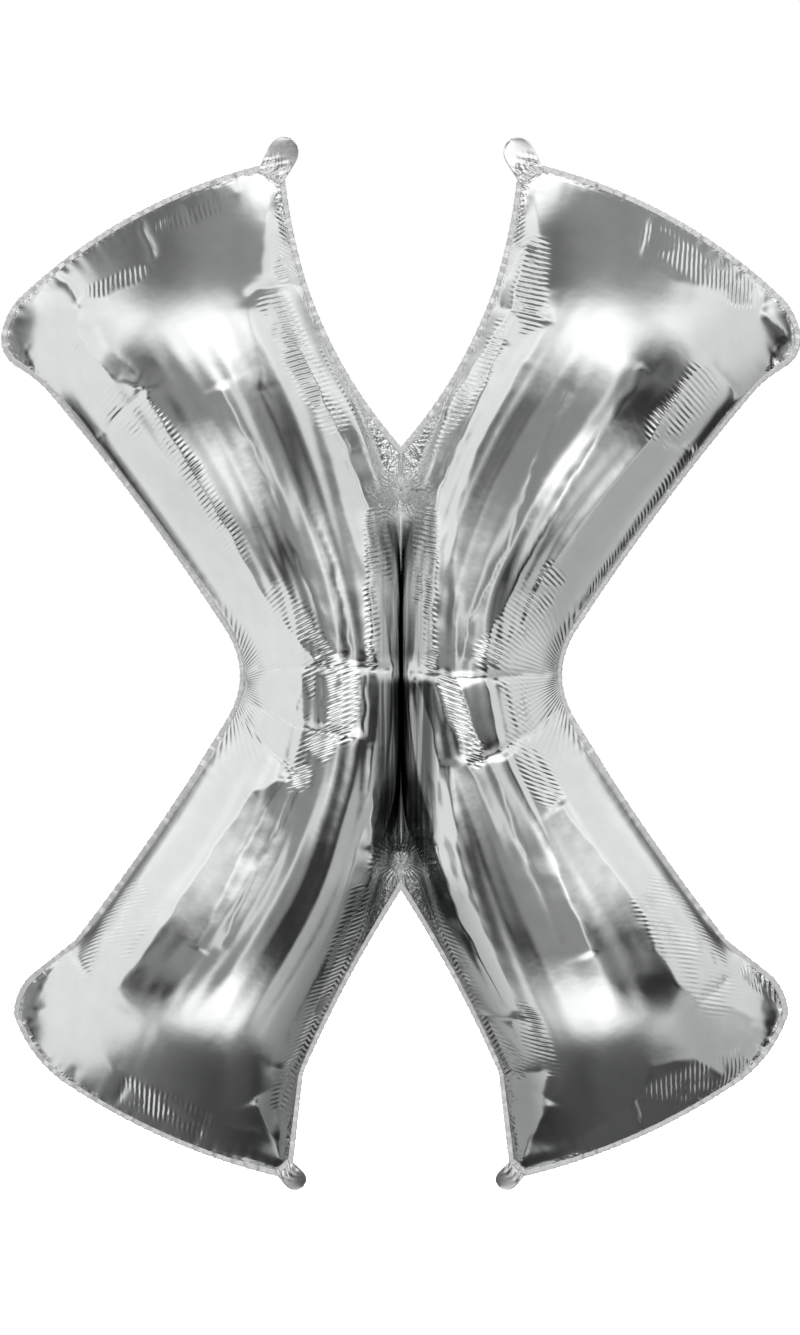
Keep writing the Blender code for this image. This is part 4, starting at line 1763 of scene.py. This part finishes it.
@dataclass
class CrotchWeld:
    """The spike and round disc that pinch the films together in a notch. Sizes in mm."""

    name: str
    cut: LetterCut
    finish: CrimpFinish
    height: float
    notch: float
    radius: float = 8.6
    thickness: float = 1.1
    thinning: float = 0.75
    spike_overlap: float = 0.5
    notch_gap: float = 2.0
    crown: float = 1.5
    dimple: float = 0.9
    dimple_reach: float = 1.8
    pleats: int = 14
    pleat_depth: float = 0.45
    pleat_drift: float = 1.5
    pleat_rise: float = 1.4
    rings: int = 16
    sides: int = 84

    def rim(self, angle: Array) -> Array:
        """How far the body reaches at each angle from the notch's direction: the disc joined with the spike."""
        toward, aside = np.maximum(np.cos(angle), 1e-3), np.maximum(np.abs(np.sin(angle)), 1e-3)
        reach = abs(self.notch - self.height) - self.notch_gap
        spike = np.minimum((self.cut.spike_half_width + self.spike_overlap) / aside, reach / toward)
        return np.where(np.cos(angle) > 0.0, np.maximum(self.radius, spike), self.radius)

    def build(self) -> bpy.types.Object:
        """A closed body: polar rings out over the front and in over the back, with a pole at each middle.

        Its lift is a plate that thins to the rim, plus a crown 1 - r² with a dimple, plus pleats cos(n angle).

        Returns:
            The weld's body.
        """
        angle = np.arange(self.sides) * TAU / self.sides
        share = np.linspace(0.0, 1.0, self.rings)[1:, None]
        radius = share * self.rim(angle)[None]
        disc = np.clip(radius / self.radius, 0.0, 1.0)
        turns = self.pleats * angle + self.pleat_drift * np.sin(3.0 * angle)
        fold = np.cos(turns)[None] * smooth(disc * self.pleat_rise)
        fold = self.pleat_depth * fold * (1.0 - share**8)
        dome = self.crown * (1.0 - disc**2) - self.dimple * bell(radius / self.dimple_reach)
        lift = 0.5 * self.thickness * (1.0 - self.thinning * share**6) + np.maximum(dome, 0.0)
        way = math.copysign(1.0, self.notch - self.height)
        x, z = radius * np.sin(angle), self.height + way * radius * np.cos(angle)
        front = np.stack([x, -lift - fold, z], axis=-1)
        back = np.stack([x, lift - fold, z], axis=-1)[::-1]
        rings = np.concatenate([front, back]).reshape(-1, 3)
        tip = 0.5 * self.thickness + self.crown - self.dimple
        points = np.concatenate([rings, [[0.0, -tip, self.height], [0.0, tip, self.height]]])
        index = Mesh.loop_index(len(front) + len(back), self.sides, False)
        quads = Mesh.grid_quads(index)
        poles = np.full((2, self.sides), [[len(rings)], [len(rings) + 1]])
        first = np.stack([index[0, 1:], index[0, :-1], poles[0]], axis=1)
        last = np.stack([index[-1, :-1], index[-1, 1:], poles[1]], axis=1)
        faces = np.concatenate([quads[:, [0, 1, 2]], quads[:, [0, 2, 3]], first, last])
        crimp = {"crimp": np.ones(len(points))}
        made = Mesh.make(self.name + "_body", points * MM, Mesh.facing_out(points, faces), crimp)
        made.data.materials.append(self.finish.make())
        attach(made, "root")
        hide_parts(self.name)
        LOG.info("%s: %d faces", made.name, len(faces))
        return made


@dataclass
class FilmTab:
    """A small film tab at the inner corner of an arm's end. Sizes in mm."""

    name: str
    finish: CrimpFinish
    root: tuple[float, float, float, float]
    length: float
    curl: float
    seed: int
    thickness: float = 0.5
    overlap: float = 4.0
    neck: float = 0.93
    head: float = 1.02
    head_start: float = 0.6
    round_start: float = 0.62
    tip_width: float = 0.012
    fold_reach: float = 0.46
    fold_depth: float = 0.9
    fold_lengths: tuple[float, ...] = (5.3, 8.9)
    fold_wander: float = 2.6
    wander_length: float = 4.1
    cross_depth: float = 0.6
    cross_lengths: tuple[float, ...] = (6.9, 10.7)
    cross_slant: float = 0.9
    bow: float = 0.9
    crimp_reach: float = 0.45
    crimp_least: float = 0.02
    rows: int = 34
    columns: int = 26

    def half_root(self) -> float:
        """Half the root's width."""
        return 0.5 * float(np.hypot(self.root[2] - self.root[0], self.root[3] - self.root[1]))

    def surface(self, share: Array) -> tuple[Array, Array]:
        """The tab's middle surface: a neck, a swelling head with a round end, and folds that fade outwards.

        Args:
            share: the rows' shares of the way from the root to the round end.

        Returns:
            Places (rows, columns, 2) in the letter's plane, and lifts (rows, columns) along +Y.
        """
        start, end = np.array(self.root[:2]), np.array(self.root[2:])
        half, middle = self.half_root(), 0.5 * (start + end)
        across = (end - start) / (2.0 * half)
        out = np.array([-across[1], across[0]])
        out = out if out[1] * middle[1] > 0.0 else -out
        reach = -self.overlap + (self.length + self.overlap) * share
        body = self.neck + (self.head - self.neck) * smooth(share / self.head_start)
        past = np.maximum(share - self.round_start, 0.0) / (1.0 - self.round_start)
        width = half * body * np.maximum(np.sqrt(np.maximum(1.0 - past**2, 0.0)), self.tip_width)
        side = np.linspace(-1.0, 1.0, self.columns)
        place = width[:, None] * side[None]
        plan = middle + reach[:, None, None] * out + place[..., None] * across
        crush = np.exp(-((share / self.fold_reach) ** 4))[:, None]
        wander = self.fold_wander * np.sin(reach / self.wander_length)[:, None]
        folds = ripple(place + wander, self.fold_lengths, self.seed) * self.fold_depth * crush
        slanting = reach[:, None] + self.cross_slant * place
        folds = folds + ripple(slanting, self.cross_lengths, self.seed + 1) * self.cross_depth * crush
        bow = self.curl * share[:, None] ** 2 + self.bow * (1.0 - side[None] ** 2) * smooth(share)[:, None]
        return plan, folds * (1.0 - side[None] ** 6) + bow

    def build(self) -> bpy.types.Object:
        """A closed plate: the surface's front skin joined with its back skin, and a strip across each end.

        Returns:
            The tab's plate.
        """
        share = np.linspace(0.0, 1.0, self.rows)
        plan, lift = self.surface(share)
        front = np.stack([plan[..., 0], lift - 0.5 * self.thickness, plan[..., 1]], axis=-1)
        back = np.stack([plan[..., 0], lift + 0.5 * self.thickness, plan[..., 1]], axis=-1)[:, ::-1]
        loops = np.concatenate([front, back], axis=1)
        index = Mesh.loop_index(loops.shape[0], loops.shape[1], False)
        ends = []
        for row, flip in ((0, False), (-1, True)):
            near, far = index[row, : self.columns], index[row, self.columns : -1][::-1]
            cap = np.stack([near[:-1], near[1:], far[1:], far[:-1]], axis=1)
            ends.append(cap[:, ::-1] if flip else cap)
        faces = np.concatenate([Mesh.grid_quads(index), *ends])
        points = loops.reshape(-1, 3)
        crimp = self.crimp_least + (1.0 - self.crimp_least) * np.exp(-((share / self.crimp_reach) ** 4))
        values = {"crimp": np.repeat(crimp, loops.shape[1])}
        made = Mesh.make(self.name + "_plate", points * MM, Mesh.facing_out(points, faces), values)
        made.data.materials.append(self.finish.make())
        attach(made, "root")
        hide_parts(self.name)
        LOG.info("%s: root %.1f mm wide", self.name, 2.0 * self.half_root())
        return made


# The studio


@dataclass(frozen=True)
class Glow:
    """A pale or dark patch of the light tent: its direction, its spreads as shares of the radius, its level and rim."""

    name: str
    x: float
    z: float
    spread_x: float
    spread_z: float
    level: float
    crisp: bool = False


@dataclass
class Studio:
    """Pale floor, soft lights, the light tent and the camera. Sizes in metres, the tent's ranges in shares of it."""

    floor_height: float = -1.25
    floor_reach: float = 60.0
    floor_sides: int = 64
    box_size: tuple[float, float] = (3.0, 1.6)
    box_away: float = 2.2
    box_height: float = 3.0
    box_power: float = 60.0
    lens: float = 135.0
    sensor: float = 36.0
    frame_rows: float = 1335.0
    row_height: float = 0.817 * MM
    aim: tuple[float, float] = (-0.0008, -0.0008)
    tent_reach: float = 5.0
    tent_rings: int = 24
    tent_sides: int = 48
    tent_level: float = 0.275
    tent_least: float = 0.03
    wall_level: float = 0.515
    wall_rim: tuple[float, float] = (0.78, 0.89)
    wall_aside: tuple[float, float] = (0.42, 0.66)
    wall_height: tuple[float, float] = (0.66, 0.84)
    flag_level: float = 0.26
    flag_middle: float = 0.64
    flag_spread: float = 0.15
    flag_aside: tuple[float, float] = (0.20, 0.42)
    flag_rise: tuple[float, float] = (0.04, 0.28)
    flag_least: float = 0.4
    flag_height: tuple[float, float] = (0.42, 0.60)
    glows: tuple[Glow, ...] = (
        Glow("upper box", 0.00, 0.52, 0.66, 0.29, 1.05, True),
        Glow("lower box", 0.03, -0.48, 0.60, 0.23, 1.00, True),
        Glow("tall strip", 0.17, 0.00, 0.10, 0.50, 0.56),
        Glow("low left flag", -0.46, -0.30, 0.18, 0.16, -0.10),
        Glow("low right flag", 0.46, -0.30, 0.18, 0.16, -0.06),
        Glow("left side", -1.00, 0.00, 0.45, 0.90, 0.10),
        Glow("low right wall", 0.80, -0.52, 0.30, 0.40, -0.36),
        Glow("high left flag", -0.46, 0.84, 0.26, 0.22, -0.14),
        Glow("ground", 0.00, -0.98, 0.85, 0.34, -0.205),
    )

    def build(self) -> None:
        """Lays the floor, hangs the lights and the tent, and sets the camera straight in front."""
        self.floor()
        self.sky()
        self.lights()
        self.tent()
        self.camera()
        bpy.context.scene.view_settings.view_transform = "Standard"

    def floor(self) -> None:
        """A wide pale floor: a fan of triangles round its middle."""
        around = np.arange(self.floor_sides)
        turn = around * TAU / self.floor_sides
        rim = np.stack([np.cos(turn), np.sin(turn), np.zeros(self.floor_sides)], axis=1) * self.floor_reach
        points = np.concatenate([rim, [[0.0, 0.0, 0.0]]]) + (0.0, 0.0, self.floor_height)
        middle = np.full(self.floor_sides, self.floor_sides)
        made = Mesh.make("floor", points, np.stack([around, np.roll(around, -1), middle], axis=1))
        made.data.materials.append(FloorFinish().make())
        made.visible_glossy = False

    def sky(self) -> None:
        """A plain white surround."""
        world = bpy.data.worlds.new("studio")
        bpy.context.scene.world = world
        world.use_nodes = True
        shader = Shader(world.node_tree)
        light = shader.node("ShaderNodeBackground", None, (1.0, 1.0, 1.0, 1.0), 1.0)
        shader.node("ShaderNodeOutputWorld", None, light)

    def lights(self) -> None:
        """Two large soft boxes overhead, in front and behind, that reflections don't see."""
        for name, side in (("front_box", -1.0), ("back_box", 1.0)):
            lamp = bpy.data.lights.new(name, "AREA")
            lamp.shape = "RECTANGLE"
            lamp.size, lamp.size_y = self.box_size
            lamp.energy = self.box_power
            made = bpy.data.objects.new(name, lamp)
            bpy.context.scene.collection.objects.link(made)
            place = Vector((0.0, side * self.box_away, self.box_height))
            made.location = place
            made.visible_camera = made.visible_glossy = False
            made.rotation_mode = "QUATERNION"
            made.rotation_quaternion = (-place).to_track_quat("-Z", "Y")

    def level(self, x: Link, z: Link) -> Link:
        """The tent's level in a direction, the same in front and behind.

        Each patch adds level exp(-r²), or exp(-r⁴) where it is crisp, with r² = (dx / spread_x)² +
        (dz / spread_z)². Pale walls stand on both sides, and four dark flags aslant inside them.

        Args:
            x: the direction's part to the right.
            z: its part upwards.

        Returns:
            The level.
        """
        total: Value = self.tent_level
        for glow in self.glows:
            off_x, off_z = (x - glow.x) / glow.spread_x, (z - glow.z) / glow.spread_z
            away = off_x * off_x + off_z * off_z
            away = away * away if glow.crisp else away
            total = away.fading() * glow.level + total
        aside, height, rim = x.size(), z.size(), (x * x + z * z).maths("SQRT")
        walls = rim.step(*self.wall_rim) * aside.step(*self.wall_aside) * (1.0 - height.step(*self.wall_height))
        slanting = height.step(*self.flag_rise) * (1.0 - self.flag_least) + self.flag_least
        slanting = slanting * (1.0 - height.step(*self.flag_height))
        band = (rim - self.flag_middle) / self.flag_spread
        flags = (band * band).fading() * aside.step(*self.flag_aside) * slanting
        total = total + walls * self.wall_level - flags * self.flag_level
        return total.maths("MAXIMUM", self.tent_least)

    def tent(self) -> None:
        """A round light tent that only reflections see: a sphere whose level depends on direction alone."""
        material, shader = Shader.of_material("light_tent")
        way = shader.node("ShaderNodeVectorMath", {"operation": "NORMALIZE"}, shader.place())
        parts = shader.node("ShaderNodeSeparateXYZ", None, way)
        level = self.level(shader.output(parts, "X"), shader.output(parts, "Z"))
        shader.node("ShaderNodeOutputMaterial", None, shader.node("ShaderNodeEmission", None, level, 1.0))
        rise = np.linspace(-0.5 * math.pi, 0.5 * math.pi, self.tent_rings)[:, None]
        turn = (np.arange(self.tent_sides) * TAU / self.tent_sides)[None]
        height = np.sin(rise) + 0.0 * turn
        sphere = np.stack([np.cos(rise) * np.cos(turn), np.cos(rise) * np.sin(turn), height], axis=-1)
        index = Mesh.loop_index(self.tent_rings, self.tent_sides, False)
        made = Mesh.make("light_tent", sphere.reshape(-1, 3) * self.tent_reach, Mesh.grid_quads(index))
        made.data.materials.append(material)
        made.visible_camera = made.visible_diffuse = made.visible_shadow = False

    def camera(self) -> None:
        """Straight on, with the photo's frame height at the letter's plane."""
        data = bpy.data.cameras.new("camera")
        data.lens, data.sensor_width = self.lens, self.sensor
        made = bpy.data.objects.new("camera", data)
        bpy.context.scene.collection.objects.link(made)
        away = self.frame_rows * self.row_height * self.lens / self.sensor
        made.location = (self.aim[0], -away, self.aim[1])
        made.rotation_euler = (math.pi / 2.0, 0.0, 0.0)
        bpy.context.scene.camera = made


def main() -> None:
    """Builds the letter's pieces, then the studio."""
    logging.basicConfig(level=logging.INFO, format="%(name)s: %(message)s")
    cut = LetterCut()
    wave = SeamWave(cut)
    FilmPanels(cut, wave, FilmFinish(), FilmRelief()).build()
    SeamFlange(cut, wave, CrimpFinish("seam_film", Tint.SEAM, gloss=0.34, depth=0.00025)).build()
    weld = CrimpFinish("weld_film", Tint.WELD, gloss=0.28)
    CrotchWeld("upper_crotch_weld", cut, weld, cut.upper_disc, cut.bends[0].z - cut.seam_width).build()
    CrotchWeld("lower_crotch_weld", cut, weld, cut.lower_disc, cut.bends[-1].z + cut.seam_width).build()
    tab = CrimpFinish("tab_film", Tint.SEAM, gloss=0.18, spacing=0.0068, depth=0.0008)
    upper = cut.bends[cut.upper_tab : cut.upper_tab + 2]
    lower = cut.bends[cut.lower_tab - 1 : cut.lower_tab + 1]
    for name, side, (start, end), length, curl, seed in (
        ("top_left_tab", -1.0, upper, 32.0, -3.0, 3),
        ("top_right_tab", 1.0, upper, 32.0, 2.0, 9),
        ("bottom_left_tab", -1.0, lower, 21.5, 11.0, 17),
        ("bottom_right_tab", 1.0, lower, 21.5, 11.5, 21),
    ):
        FilmTab(name, tab, (side * start.x, start.z, side * end.x, end.z), length, curl, seed).build()
    Studio().build()


if __name__ == "__main__":
    main()
